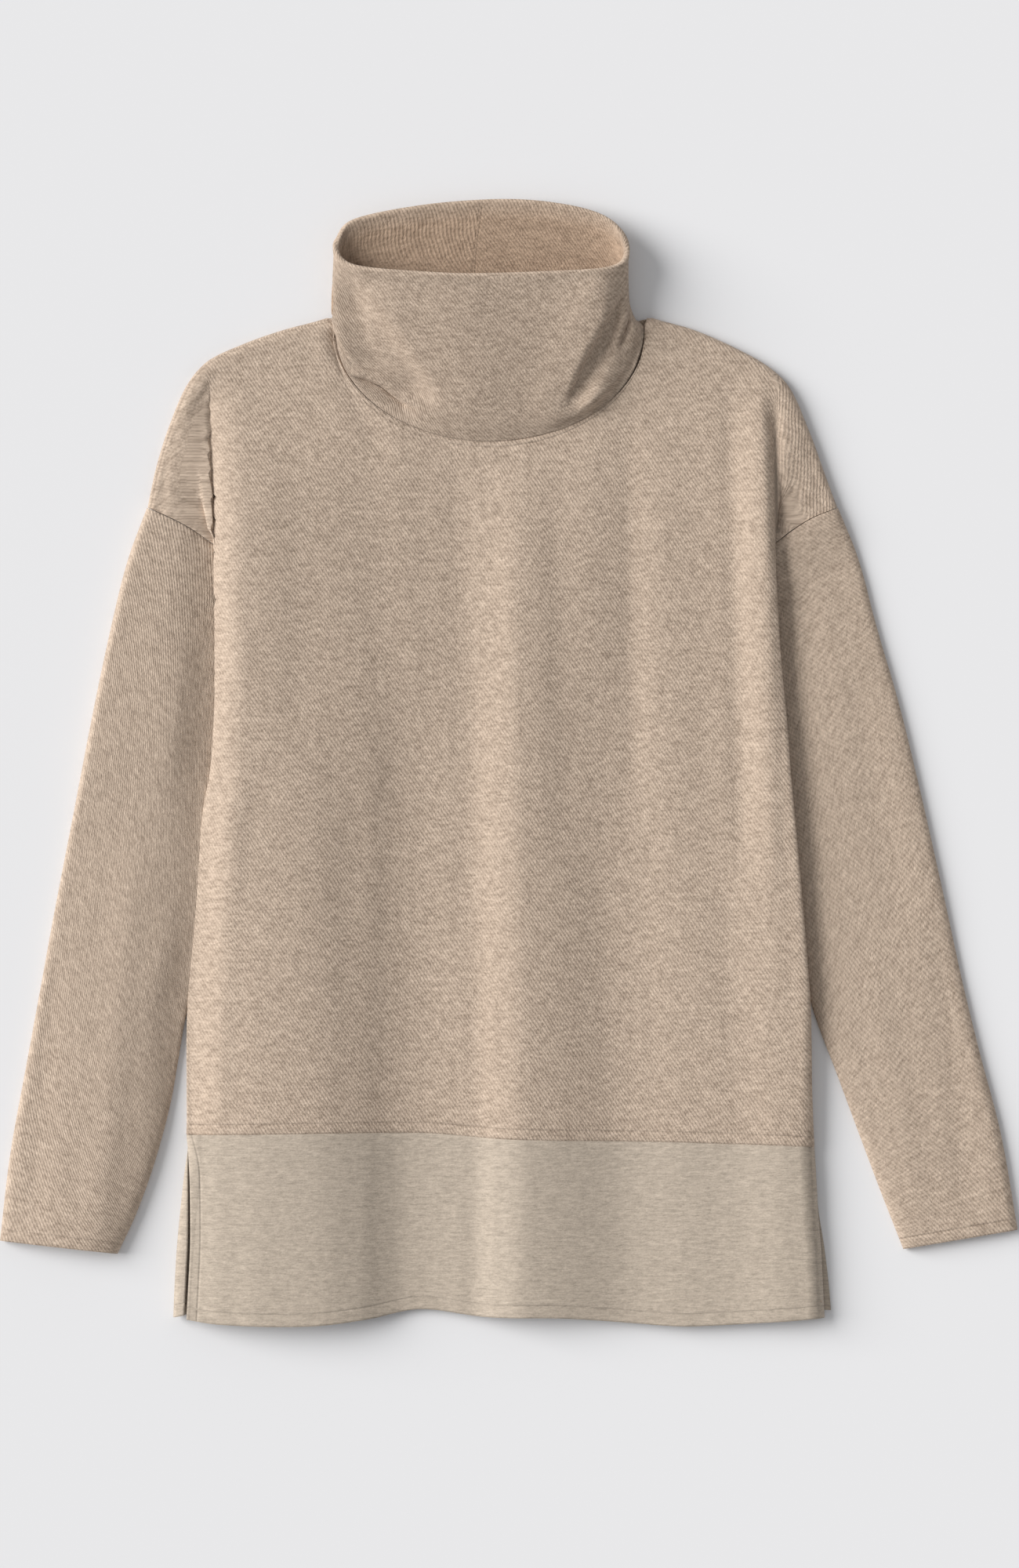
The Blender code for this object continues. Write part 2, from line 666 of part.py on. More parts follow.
def collar(material):
    """The funnel collar, leaning back on itself with its folds."""
    rows = sorted((((row[0] + 180) % 360) - 180, *row[1:]) for row in COLLAR)
    wrapped = [(row[0] - 360, *row[1:]) for row in rows[-3:]]
    wrapped += rows
    wrapped += [(row[0] + 360, *row[1:]) for row in rows[:3]]
    grid = []
    for j in range(COLLAR_RINGS + 1):
        up = j / COLLAR_RINGS
        ring = []
        for i in range(COLLAR_STEPS):
            angle = -180 + 360 * i / COLLAR_STEPS
            values = blended(wrapped, angle)
            stations = [(0.0, *collar_base(angle)), (0.3, *values[:3])]
            stations += [(0.62, *values[3:6]), (1.0, *values[6:9])]
            ring.append(blended(stations, up))
        grid.append(ring)
    return cloth("collar", grid, material, COLLAR_THICKNESS, closed=True)


def left_slit_point(x_fold, level, turn):
    """A point on the round of the cloth at the left slit. The turn is -90 below, 0 at the fold and 90 on top."""
    inset = SLIT_ROLL * (1 - math.cos(math.radians(turn)))
    middle = (TABLE_LEVEL + level) / 2
    return -x_fold + inset, middle + (level - middle) * math.sin(math.radians(turn))


def hem_band_front(material):
    """The front hem band, from the waist seam to the hem."""
    grid = []
    for j in range(BAND_ROWS + 1):
        down = j / BAND_ROWS
        row = []
        y_side = mix(WAIST_SEAM[0][1] - SEAM_GAP, HEM_LINE[0][1], down)
        left_fold, slit_turn, _, _ = blended(BAND_EDGE, y_side)
        level = front_height(-left_fold + SLIT_ROLL, y_side)
        for step in spread(0, 1, 5)[:-1]:
            x, z = left_slit_point(left_fold, level, mix(slit_turn, 90, step))
            row.append([x, y_side, z])
        y_side = mix(WAIST_SEAM[-1][1] - SEAM_GAP, HEM_LINE[-1][1], down)
        right_edge = blended(BAND_EDGE, y_side)[2]
        for x in spread(-left_fold + SLIT_ROLL, right_edge - SLIT_ROLL, CENTRE_COLUMNS):
            row.append([x, 0.0, 0.0])
        for step in spread(0, 1, 5)[1:]:
            turn = mix(90, 0, step)
            row.append([right_edge - SLIT_ROLL * (1 - math.cos(math.radians(turn))), 0.0, turn])
        for i, point in enumerate(row):
            top_y = waist_y(point[0]) - SEAM_GAP
            point[1] = mix(top_y, blended(HEM_LINE, point[0])[0], down)
            if i >= 5:
                height = front_height(point[0], point[1])
                drop = math.sin(math.radians(point[2])) if point[2] or i > CENTRE_COLUMNS + 5 else 1.0
                point[2] = mix(SLIT_EDGE_LEVEL, height, drop)
        grid.append(row)
    return cloth("hem_band_front", grid, material, BAND_THICKNESS, up=False)


def hem_band_back(material):
    """The back hem band, flat on the surface, with its left end turned up round the fold."""
    grid = []
    for j in range(BAND_ROWS + 1):
        down = j / BAND_ROWS
        row = []
        y_side = mix(WAIST_SEAM[0][1] - SEAM_GAP, BACK_HEM_LINE[0][1], down)
        left_fold, slit_turn, _, back_right = blended(BAND_EDGE, y_side)
        level = front_height(-left_fold + SLIT_ROLL, y_side)
        for step in spread(0, 1, 10)[:-1]:
            x, z = left_slit_point(left_fold, level, mix(slit_turn - SLIT_GAP_TURN, -90, step))
            row.append([x, y_side, max(z, BAND_THICKNESS / 2)])
        for x in spread(-left_fold + SLIT_ROLL, back_right, 20):
            row.append([x, 0.0, BAND_THICKNESS / 2])
        for point in row:
            top_y = waist_y(point[0]) - SEAM_GAP
            point[1] = mix(top_y, blended(BACK_HEM_LINE, point[0])[0], down)
        grid.append(row)
    return cloth("hem_band_back", grid, material, BAND_THICKNESS, up=True)


def clear():
    for thing in list(bpy.data.objects):
        bpy.data.objects.remove(thing)


def main():
    clear()
    twill = plain_material("twill_knit", (0.45, 0.366, 0.291), 0.92)
    rib = plain_material("collar_twill_knit", (0.45, 0.366, 0.291), 0.92)
    jersey = plain_material("jersey_knit", (0.474, 0.397, 0.323), 0.92)
    front_panel(twill)
    back_panel(twill)
    sleeve(-1, "sleeve_left", SLEEVE_LEFT, twill)
    sleeve(1, "sleeve_right", SLEEVE_RIGHT, twill)
    collar(rib)
    hem_band_front(jersey)
    hem_band_back(jersey)


main()
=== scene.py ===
"""Visual model of the mock-neck tunic: knitted cloth, seams and stitching, laid flat on a pale surface.

Sizes in the tables are millimetres in the model's own frame. X runs across the garment, Y from the hem to the
neck and Z up from the surface. Each piece of cloth starts from the same few sections as its solid, is made
finer, and then gets its soft creases, its thickness, its rib and its stitching.
"""

import math

import bmesh
import bpy
import numpy as np
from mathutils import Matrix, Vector


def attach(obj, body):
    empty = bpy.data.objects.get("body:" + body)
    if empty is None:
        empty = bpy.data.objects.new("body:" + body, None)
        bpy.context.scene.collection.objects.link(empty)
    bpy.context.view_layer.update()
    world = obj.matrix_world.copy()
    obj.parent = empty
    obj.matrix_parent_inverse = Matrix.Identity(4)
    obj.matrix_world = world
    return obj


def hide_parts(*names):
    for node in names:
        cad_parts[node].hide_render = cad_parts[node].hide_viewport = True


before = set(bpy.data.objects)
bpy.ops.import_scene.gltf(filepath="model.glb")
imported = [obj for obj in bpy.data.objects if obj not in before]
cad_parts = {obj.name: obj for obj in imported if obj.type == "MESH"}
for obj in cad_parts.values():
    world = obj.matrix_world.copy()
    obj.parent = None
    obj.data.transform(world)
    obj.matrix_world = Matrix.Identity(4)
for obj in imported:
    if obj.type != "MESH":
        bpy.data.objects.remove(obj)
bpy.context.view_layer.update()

MM = 0.001

# Cloth
TWILL_THICKNESS = 1.6
COLLAR_THICKNESS = 3.0
SEAM_GAP = 0.4
TABLE_LEVEL = TWILL_THICKNESS / 2
ROLLED_EDGE_LEVEL = 4.15
SHOULDER_ROLL = 5.0
BAND_THICKNESS = 1.4
SIDE_SEAM_EASE = 1.0
ARMHOLE_GAP = 0.7
UNDERARM_GAP = 2.2
SHOULDER_GAP = 0.9
SLIT_ROLL = 12.0
SLIT_EDGE_LEVEL = 3.0
SLIT_GAP_TURN = 9.0

# Distances of the stitching from the edges of the cloth, and one at which no seam shows
NECK_STITCH = 3.5
WAIST_STITCH = 7.0
CUFF_STITCH = 8.0
SLIT_STITCH = 8.0
HEM_STITCH = 9.0
FAR_FROM_SEAM = 1000.0

# Sections of each piece, before it is made finer
CENTRE_COLUMNS = 30
SIDE_COLUMNS = 9
SHOULDER_STEPS = 6
FINER_COLUMNS = 3
PANEL_ROWS = 9
BAND_ROWS = 5
BACK_COLUMNS = 18
BACK_ROWS = 12
ROLL_STEPS = (0.0, 0.5, 2.0, 5.0)
BACK_ARMHOLE_PART = 0.36
SLEEVE_RINGS = 15
COLLAR_STEPS = 48
COLLAR_RINGS = 9

# Heights of the front above the surface
FRONT_LEVEL = 9.0
CAP_LEVEL = 7.5
NECK_LEVEL = 8.0
LOWEST_FRONT = 3.3
SIDE_ROLL = 16.0

# Neck seam: the front is half an ellipse, the back a shallow curve between the same two ends
NECK = dict(x=-14.5, y=322.5, half_width=115.4, depth=84.1)
NECK_END_ANGLE = math.radians(5.0)
BACK_NECK_DROP = 21.0
COLLAR_INSET = 1.2
BACK_COLLAR_INSET = 2.2
CORNER_INSET = 1.2

# Hem
FRONT_HEM = -402.0
HEM_LINE = [
    # x, y
    (-248.0, -408.0),
    (-214.0, -413.0),
    (-147.0, -414.0),
    (-104.0, -409.0),
    (-66.0, -402.0),
    (-19.0, -407.5),
    (40.0, -408.5),
    (101.0, -413.0),
    (129.0, -414.7),
    (198.0, -411.2),
    (233.0, -408.3),
]
BACK_HEM_LINE = [
    # x, y
    (-248.0, -408.0),
    (-225.0, -404.0),
    (-100.0, -400.0),
    (100.0, -400.0),
    (240.0, -403.0),
]

# Outline of the shoulders, from the neck seam to the end of the dropped shoulder
SHOULDER_LEFT = [
    # x, y
    (-131.0, 329.5),
    (-161.8, 322.5),
    (-196.0, 310.9),
    (-221.0, 299.3),
    (-233.2, 287.7),
    (-240.6, 275.5),
    (-246.5, 262.0),
    (-254.6, 240.0),
    (-261.5, 216.0),
    (-266.8, 190.2),
]
SHOULDER_RIGHT = [
    (102.0, 329.5),
    (131.7, 322.5),
    (160.0, 310.9),
    (182.7, 299.3),
    (198.9, 287.7),
    (208.2, 276.0),
    (214.5, 262.0),
    (223.5, 240.0),
    (232.0, 216.0),
    (241.6, 190.2),
]
PLEAT_START = 3

# Where the front folds over its own side, how far it is tucked back under, and how high the tucked
# edge ends. A negative tuck is a slope that doesn't turn under.
SIDE_FOLD = [
    # y, left fold, left tuck, right fold, right tuck, end height
    (-300.0, 238.5, 0.0, 226.0, 0.0, 2.7),
    (-260.0, 238.0, 0.0, 223.5, 0.0, 2.7),
    (-223.0, 238.0, 2.0, 222.5, 2.0, 2.7),
    (-182.0, 237.8, 6.5, 222.0, 6.5, 2.7),
    (-130.0, 234.3, 16.0, 218.0, 15.0, 2.7),
    (-72.0, 230.3, 29.0, 213.4, 26.0, 2.7),
    (-14.0, 224.5, 40.0, 208.2, 39.0, 2.7),
    (20.0, 221.2, 43.0, 205.5, 45.0, 2.9),
    (28.0, 220.5, 43.0, 205.0, 45.0, 5.6),
    (79.0, 219.3, 33.0, 200.0, 34.0, 7.0),
    (120.0, 219.0, 22.0, 197.0, 23.0, 8.2),
    (163.0, 219.5, 11.0, 194.8, 11.0, 9.3),
    (195.0, 220.5, 6.5, 193.9, 6.5, 9.3),
    (225.0, 221.0, 1.0, 193.0, 1.0, 9.3),
    (250.0, 221.0, -4.0, 192.0, -4.0, 9.3),
    (280.0, 220.0, -8.0, 190.0, -8.0, 9.3),
    (310.0, 219.0, -10.0, 188.0, -10.0, 9.3),
]
UNDERARM_Y = 28.0
TUCK_STARTS_Y = 163.0

# Armhole seam from the end of the shoulder down to where the side fold hides it
ARMHOLE_LEFT = [
    # x, y
    (-266.8, 190.2),
    (-251.5, 183.3),
    (-237.4, 176.0),
    (-226.2, 168.5),
]
ARMHOLE_RIGHT = [
    (241.6, 190.2),
    (224.3, 183.3),
    (212.1, 176.0),
    (201.8, 168.5),
]

# Soft folds of the front, each a ridge or a trough that runs down to the hem
FRONT_FOLDS = [
    # x at top, y at top, x at hem, half width on its left, on its right, height at top, height at hem
    (-187.0, 300.0, -184.0, 40.0, 80.0, 12.5, 10.0),
    (-150.0, 60.0, -128.0, 40.0, 24.0, 2.0, 3.5),
    (-68.0, 110.0, -70.0, 34.0, 40.0, -3.0, -4.8),
    (6.0, 262.0, 6.0, 20.0, 56.0, 7.0, 9.0),
    (66.0, 150.0, 84.0, 30.0, 36.0, -2.0, -2.0),
    (112.0, 270.0, 128.0, 16.0, 34.0, 2.8, 0.5),
    (187.0, 300.0, 206.0, 28.0, 40.0, 9.5, 4.0),
]
FOLD_FADE = 130.0
HIDDEN_ARMHOLE_Y = (152.0, 132.0, 108.0, 82.0, 55.0, 28.0)
SIDE_SEAM_Y = (20.0, 5.0, -14.0, -50.0, -90.0, -130.0, -182.0, -225.0, -273.0)

# Seam between the front and its hem band, and the two side edges of the bands at the slits
WAIST_SEAM = [
    # x, y
    (-240.0, -273.0),
    (-67.0, -271.5),
    (0.0, -276.0),
    (133.0, -278.5),
    (224.0, -281.5),
]
BAND_EDGE = [
    # y, left fold, turn of the left slit round it in degrees, front right, back right
    (-415.0, 248.0, 77.0, 233.0, 238.2),
    (-402.0, 247.7, 77.0, 232.0, 237.4),
    (-362.0, 245.6, 78.0, 230.2, 233.6),
    (-330.0, 242.7, 65.0, 227.6, 229.0),
    (-300.0, 239.4, 42.0, 226.0, 226.6),
    (-270.0, 238.0, -25.0, 224.0, 225.0),
]

# Sleeves: outer and inner edge from the armhole to the cuff, and the height of the top layer
SLEEVE_LEFT = [
    # share, outer x, outer y, inner x, inner y, crown
    (0.00, -266.8, 190.2, -177.5, 28.0, 9.5),
    (0.12, -281.0, 152.0, -190.5, -14.0, 11.0),
    (0.25, -292.5, 107.0, -205.0, -62.0, 12.5),
    (0.40, -306.5, 42.0, -219.5, -116.0, 13.0),
    (0.55, -322.0, -38.0, -239.0, -182.0, 13.5),
    (0.70, -337.5, -118.0, -250.6, -246.0, 14.0),
    (0.82, -352.0, -198.0, -262.7, -292.0, 14.5),
    (0.92, -368.0, -285.0, -277.0, -332.0, 15.0),
    (1.00, -376.0, -351.5, -290.5, -360.8, 15.5),
]
SLEEVE_RIGHT = [
    (0.00, 241.6, 190.2, 160.5, 28.0, 9.5),
    (0.12, 257.0, 152.0, 175.0, -14.0, 11.0),
    (0.25, 270.5, 102.0, 193.0, -66.0, 12.5),
    (0.40, 288.0, 42.0, 209.5, -122.0, 13.0),
    (0.55, 307.0, -37.0, 225.5, -182.0, 13.5),
    (0.70, 325.0, -118.0, 240.5, -222.0, 14.0),
    (0.82, 341.0, -190.0, 258.0, -269.0, 14.5),
    (0.92, 362.0, -270.0, 275.5, -315.5, 15.0),
    (1.00, 375.0, -343.5, 292.0, -357.5, 15.5),
]
SLEEVE_EDGE_HEIGHT = 7.0
SLEEVE_LEAN_LEFT = 1.5
SLEEVE_LEAN_RIGHT = 0.85
SLEEVE_CLEAR_OF_SIDE = 8.0

# Collar: for each station round the neck, a low point by the seam, a middle point and the rim
COLLAR = [
    # seam angle, low x, y, z, middle x, y, z, rim x, y, z
    (-90.0, -16.2, 262.0, 16.0, -22.0, 317.0, 27.5, -27.3, 359.6, 35.0),
    (-115.0, -46.0, 265.0, 15.5, -53.0, 317.0, 26.8, -62.0, 361.0, 34.0),
    (-133.0, -66.0, 277.0, 14.5, -95.0, 317.0, 23.5, -104.0, 364.5, 31.0),
    (-145.0, -88.0, 283.0, 12.0, -111.0, 317.0, 18.0, -121.0, 369.5, 27.0),
    (-157.0, -113.0, 293.0, 11.0, -125.5, 320.0, 15.5, -127.6, 379.0, 23.0),
    (-180.0, -127.0, 325.0, 9.8, -129.5, 339.0, 13.5, -126.0, 389.0, 19.0),
    (150.0, -104.0, 331.0, 4.2, -114.0, 363.0, 6.5, -113.5, 401.4, 14.0),
    (115.0, -58.0, 321.0, 2.0, -61.0, 369.0, 5.0, -61.0, 412.0, 11.0),
    (90.0, -14.5, 319.0, 2.0, -14.5, 367.0, 4.5, -8.0, 416.0, 10.0),
    (65.0, 29.0, 321.0, 2.0, 32.0, 369.0, 5.0, 32.0, 413.5, 11.0),
    (30.0, 74.0, 331.0, 4.2, 73.0, 363.0, 6.5, 67.0, 405.0, 14.0),
    (0.0, 92.0, 328.0, 9.0, 86.5, 345.5, 13.0, 83.5, 391.0, 21.0),
    (-17.0, 83.0, 310.0, 7.5, 85.0, 333.5, 14.5, 86.3, 378.0, 25.0),
    (-32.0, 67.0, 294.0, 8.4, 77.0, 331.0, 17.0, 81.5, 368.5, 29.0),
    (-47.0, 46.5, 276.0, 12.0, 65.5, 329.0, 25.0, 66.0, 363.6, 32.5),
    (-68.0, 18.0, 265.0, 15.2, 24.0, 319.0, 27.4, 22.0, 361.0, 34.5),
]


def blended(rows, at):
    """A smooth curve through the rows of a table whose first column rises, read at one value."""
    first, last = rows[0], rows[-1]
    at = min(max(at, first[0]), last[0])
    index = 0
    while index < len(rows) - 2 and at > rows[index + 1][0]:
        index += 1
    low, high = rows[index], rows[index + 1]
    before = rows[max(index - 1, 0)]
    after = rows[min(index + 2, len(rows) - 1)]
    span = high[0] - low[0]
    share = (at - low[0]) / span
    values = []
    for column in range(1, len(first)):
        slope_in = (high[column] - before[column]) / (high[0] - before[0]) * span
        slope_out = (after[column] - low[column]) / (after[0] - low[0]) * span
        values.append(
            (2 * share**3 - 3 * share**2 + 1) * low[column]
            + (share**3 - 2 * share**2 + share) * slope_in
            + (3 * share**2 - 2 * share**3) * high[column]
            + (share**3 - share**2) * slope_out
        )
    return values


def keyed_by_length(points):
    """The rows of a table for blended(): how far along the line each point is, from 0 to 1, and the point."""
    lengths = [0.0]
    for a, b in zip(points, points[1:]):
        lengths.append(lengths[-1] + math.dist(a[:2], b[:2]))
    return [(length / lengths[-1], *point) for length, point in zip(lengths, points)]


def mix(a, b, share):
    return a + (b - a) * share


def ramp(low, high, value):
    """0 below low, 1 above high, and smooth between."""
    share = min(max((value - low) / (high - low), 0.0), 1.0)
    return share * share * (3 - 2 * share)


def side_of(sign, y):
    """Fold, tuck and end height of the front's side at this y, as distances out from the middle."""
    left_fold, left_tuck, right_fold, right_tuck, end = blended(SIDE_FOLD, y)
    return (left_fold, left_tuck, end) if sign < 0 else (right_fold, right_tuck, end)


def overhang(tuck):
    """How strongly the side profile turns back on itself, and the share at which it does, for a tuck."""
    if tuck <= 0:
        return max(1 + tuck / 10, 0.0), 0.0
    low, high = 1.0, 30.0
    for _ in range(40):
        strength = (low + high) / 2
        turn = math.acos(1 / strength) / math.pi
        reach = 2 * SIDE_ROLL * (strength * math.sin(math.pi * turn) / math.pi - turn)
        low, high = (strength, high) if reach < tuck else (low, strength)
    return strength, turn


def seam_distance(sign, y):
    """How far out the side seam, or the hidden part of the armhole seam, lies under the fold."""
    fold, tuck, _ = side_of(sign, y)
    return fold - max(tuck, 0.0)


def front_height(x, y):
    """Height of the front's middle surface, away from its sides."""
    level = FRONT_LEVEL - 1.0 * ramp(150, 300, y)
    for x_top, y_top, x_hem, left_width, right_width, height_top, height_hem in FRONT_FOLDS:
        share = min(max((y_top - y) / (y_top - FRONT_HEM), 0.0), 1.0)
        centre = mix(x_top, x_hem, share)
        strength = mix(height_top, height_hem, share) * (1 - ramp(y_top - FOLD_FADE, y_top, y))
        width = left_width if x < centre else right_width
        level += strength * math.exp(-(((x - centre) / width) ** 2))
    return max(level, LOWEST_FRONT)


def side_point(sign, y, share):
    """A point of the front's side profile. share is 1 at the top, and falls as it goes out and under."""
    fold, tuck, end = side_of(sign, y)
    strength, turn = overhang(tuck)
    centre = fold - max(tuck, 0.0) / 2
    out = centre - SIDE_ROLL * (share - strength * math.sin(math.pi * share) / math.pi)
    top = front_height(sign * out, y)
    rise = min(max((share + turn) / (1 + turn), 0.0), 1.0)
    tucked = end + (top - end) * math.sin(math.pi / 2 * rise) ** 0.8
    laid = CAP_LEVEL + (top - CAP_LEVEL) * (0.5 + 0.5 * math.sin(math.pi / 2 * share))
    cap = ramp(TUCK_STARTS_Y - 8, TUCK_STARTS_Y + 22, y)
    return sign * out, mix(tucked, laid, cap)


def side_share_at(sign, y, out):
    """The share at which the lower layer of the side profile is this far out, or its turn if it never is."""
    fold, tuck, _ = side_of(sign, y)
    strength, turn = overhang(tuck)
    centre = fold - max(tuck, 0.0) / 2
    near, far = -1.0, -turn
    if out <= fold - max(tuck, 0.0):
        return -turn
    for _ in range(30):
        share = (near + far) / 2
        reached = centre - SIDE_ROLL * (share - strength * math.sin(math.pi * share) / math.pi)
        near, far = (near, share) if reached < out else (share, far)
    return share


def shoulder_edge(sign):
    return SHOULDER_LEFT if sign < 0 else SHOULDER_RIGHT


def armhole_line(sign):
    """The armhole seam, from the shoulder's end to the underarm, as (x, y)."""
    seam = list(ARMHOLE_LEFT if sign < 0 else ARMHOLE_RIGHT)
    for y in HIDDEN_ARMHOLE_Y:
        seam.append((sign * seam_distance(sign, y), y))
    return seam


def neck_front(share, inset):
    """A point of the front neck seam, from its left end to its right end."""
    angle = mix(-math.pi + NECK_END_ANGLE, -NECK_END_ANGLE, share)
    return (
        NECK["x"] + (NECK["half_width"] - inset) * math.cos(angle),
        NECK["y"] + (NECK["depth"] - inset) * math.sin(angle),
    )


def neck_back(share):
    """A point of the back neck seam, from its left end to its right end."""
    half = NECK["half_width"]
    x = NECK["x"] + half * mix(-1, 1, share)
    bow = 1 - (2 * share - 1) ** 2
    return x, SHOULDER_LEFT[0][1] - BACK_NECK_DROP * bow


def spread(start, stop, count):
    return [mix(start, stop, i / count) for i in range(count + 1)]


def top_edge(shoulder_steps, neck_steps, neck_point):
    """The upper edge of a body panel: left shoulder from the pleat, the neck, right shoulder to the pleat."""
    left = keyed_by_length(SHOULDER_LEFT[: PLEAT_START + 1][::-1])
    right = keyed_by_length(SHOULDER_RIGHT[: PLEAT_START + 1])
    edge = [tuple(blended(left, s)) for s in spread(0, 1, shoulder_steps)]
    edge += [neck_point(s) for s in spread(0, 1, neck_steps)]
    edge += [tuple(blended(right, s)) for s in spread(0, 1, shoulder_steps)]
    return edge


def panel_shares():
    """Shares down the front, close together at the rolled shoulder edge and just under the arm."""
    stops = [y for _, y in ARMHOLE_LEFT[1:]] + list(HIDDEN_ARMHOLE_Y) + [UNDERARM_Y - 8.0]
    shares = [0.0, 0.0016, 0.005, 0.0105]
    for y in stops:
        low, high = 0.0, 1.0
        for _ in range(40):
            middle = (low + high) / 2
            above = panel_side_y(mix(SHOULDER_LEFT[PLEAT_START][1], WAIST_SEAM[0][1], middle), middle) > y
            low, high = (middle, high) if above else (low, middle)
        shares.append(low)
    return shares + spread(shares[-1], 1.0, PANEL_ROWS)[1:]


def waist_y(x):
    return blended(WAIST_SEAM, x)[0]


def rolled(level, depth):
    """Height near a rolled edge: it is ROLLED_EDGE_LEVEL at the edge and level from SHOULDER_ROLL in."""
    share = min(max(depth / SHOULDER_ROLL, 0.0), 1.0)
    return mix(ROLLED_EDGE_LEVEL, level, math.sqrt(1 - (1 - share) ** 2))


def distance_to(line, x, y):
    """Distance in plan from a point to a line of short straight runs."""
    best = 1e9
    for (ax, ay), (bx, by) in zip(line, line[1:]):
        dx, dy = bx - ax, by - ay
        share = ((x - ax) * dx + (y - ay) * dy) / (dx * dx + dy * dy)
        share = min(max(share, 0.0), 1.0)
        best = min(best, math.hypot(x - ax - share * dx, y - ay - share * dy))
    return best


def shoulder_lines():
    fine = []
    for edge in (SHOULDER_LEFT, SHOULDER_RIGHT):
        keyed = keyed_by_length(edge)
        fine.append([tuple(blended(keyed, s)) for s in spread(0, 1, 40)])
    return fine


SHOULDER_FINE = shoulder_lines()


def shoulder_depth(x, y):
    """How far inside the shoulders' outline a point lies."""
    return min(distance_to(line, x, y) for line in SHOULDER_FINE)


def panel_side_y(y_fold, down):
    """y at the seam of the row that crosses the side fold at y_fold."""
    return y_fold - (SHOULDER_LEFT[PLEAT_START][1] - SHOULDER_LEFT[-1][1]) * (1 - down) ** 3


def front_side_strip(sign, down, y_bottom):
    """Points of one row of the front, from the seam out and round the side fold to the top."""
    shoulder = shoulder_edge(sign)
    pleat_y = shoulder[PLEAT_START][1]
    y_fold = mix(pleat_y, y_bottom, down)
    y_seam = panel_side_y(y_fold, down)
    out_seam = seam_distance(sign, y_seam)
    line = armhole_line(sign)
    for (ax, ay), (bx, by) in zip(line, line[1:]):
        if ay >= y_seam >= by - 0.01:
            out_seam = abs(mix(ax, bx, (ay - y_seam) / (ay - by)))
    edge = keyed_by_length(shoulder[PLEAT_START:][::-1])
    start = side_share_at(sign, y_seam, out_seam)
    on_cap = max(out_seam - (side_of(sign, y_seam)[0] + SIDE_ROLL), 0.0)
    points = []
    for i in range(SIDE_COLUMNS + 1):
        share = i / SIDE_COLUMNS
        edge_x, edge_y = blended(edge, share)
        lift = (edge_y - mix(shoulder[-1][1], pleat_y, share)) * (1 - down) ** 3
        y = mix(y_seam, y_fold, share) + lift
        if on_cap > 0:
            cap_part = min(0.55, on_cap / (on_cap + 3 * SIDE_ROLL))
            if share < cap_part:
                x = sign * (out_seam - on_cap * share / cap_part)
                z = CAP_LEVEL
            else:
                x, z = side_point(sign, y, mix(-1, 1, (share - cap_part) / (1 - cap_part)))
        else:
            x, z = side_point(sign, y, mix(start, 1, share))
        pull = (1 - down) ** 14 if i else 0.0
        pull *= mix(ramp(0.0, 0.35, share), 1.0, (1 - down) ** 90)
        x = mix(x, edge_x, pull)
        points.append([x, y, z])
    return points


def front_sections():
    """The front of the body, from the shoulders and neck to the seam of the hem band."""
    neck_steps = CENTRE_COLUMNS - 2 * (SHOULDER_STEPS + 1)
    top = top_edge(SHOULDER_STEPS, neck_steps, lambda s: neck_front(s, -SEAM_GAP / 2))
    pleat_y = SHOULDER_LEFT[PLEAT_START][1]
    grid = []
    for down in panel_shares():
        left = front_side_strip(-1, down, WAIST_SEAM[0][1])
        right = front_side_strip(1, down, WAIST_SEAM[-1][1])
        centre = []
        for i, (edge_x, edge_y) in enumerate(top):
            share = i / (len(top) - 1)
            y_fold = mix(pleat_y, waist_y(mix(left[-1][0], right[-1][0], share)), down)
            x = mix(left[-1][0], right[-1][0], share)
            x = mix(x, edge_x, (1 - down) ** 4)
            y = y_fold + (edge_y - pleat_y) * (1 - down) ** 3
            centre.append([x, y, front_height(x, y)])
        row = left[:-1] + centre + right[::-1][1:]
        for point in row:
            point[2] = rolled(point[2], shoulder_depth(point[0], point[1]))
        grid.append(row)
    return grid


def level_back(depth):
    """Height of the back near the rolled shoulder edge."""
    share = min(max(depth / SHOULDER_ROLL, 0.0), 1.0)
    return mix(ROLLED_EDGE_LEVEL - SHOULDER_GAP, TABLE_LEVEL, math.sqrt(1 - (1 - share) ** 2))


def back_side(sign):
    """The back's side edge, from the shoulder's end down the armhole and the side seam, as (x, y)."""
    line = armhole_line(sign)
    for y in SIDE_SEAM_Y:
        line.append((sign * (seam_distance(sign, y) + SIDE_SEAM_EASE * ramp(28, 10, y)), y))
    return line


def along(points, share):
    """A point part of the way along a line of straight runs."""
    keyed = keyed_by_length(points)
    for a, b in zip(keyed, keyed[1:]):
        if share <= b[0]:
            part = (share - a[0]) / (b[0] - a[0])
            return mix(a[1], b[1], part), mix(a[2], b[2], part)
    return keyed[-1][1], keyed[-1][2]


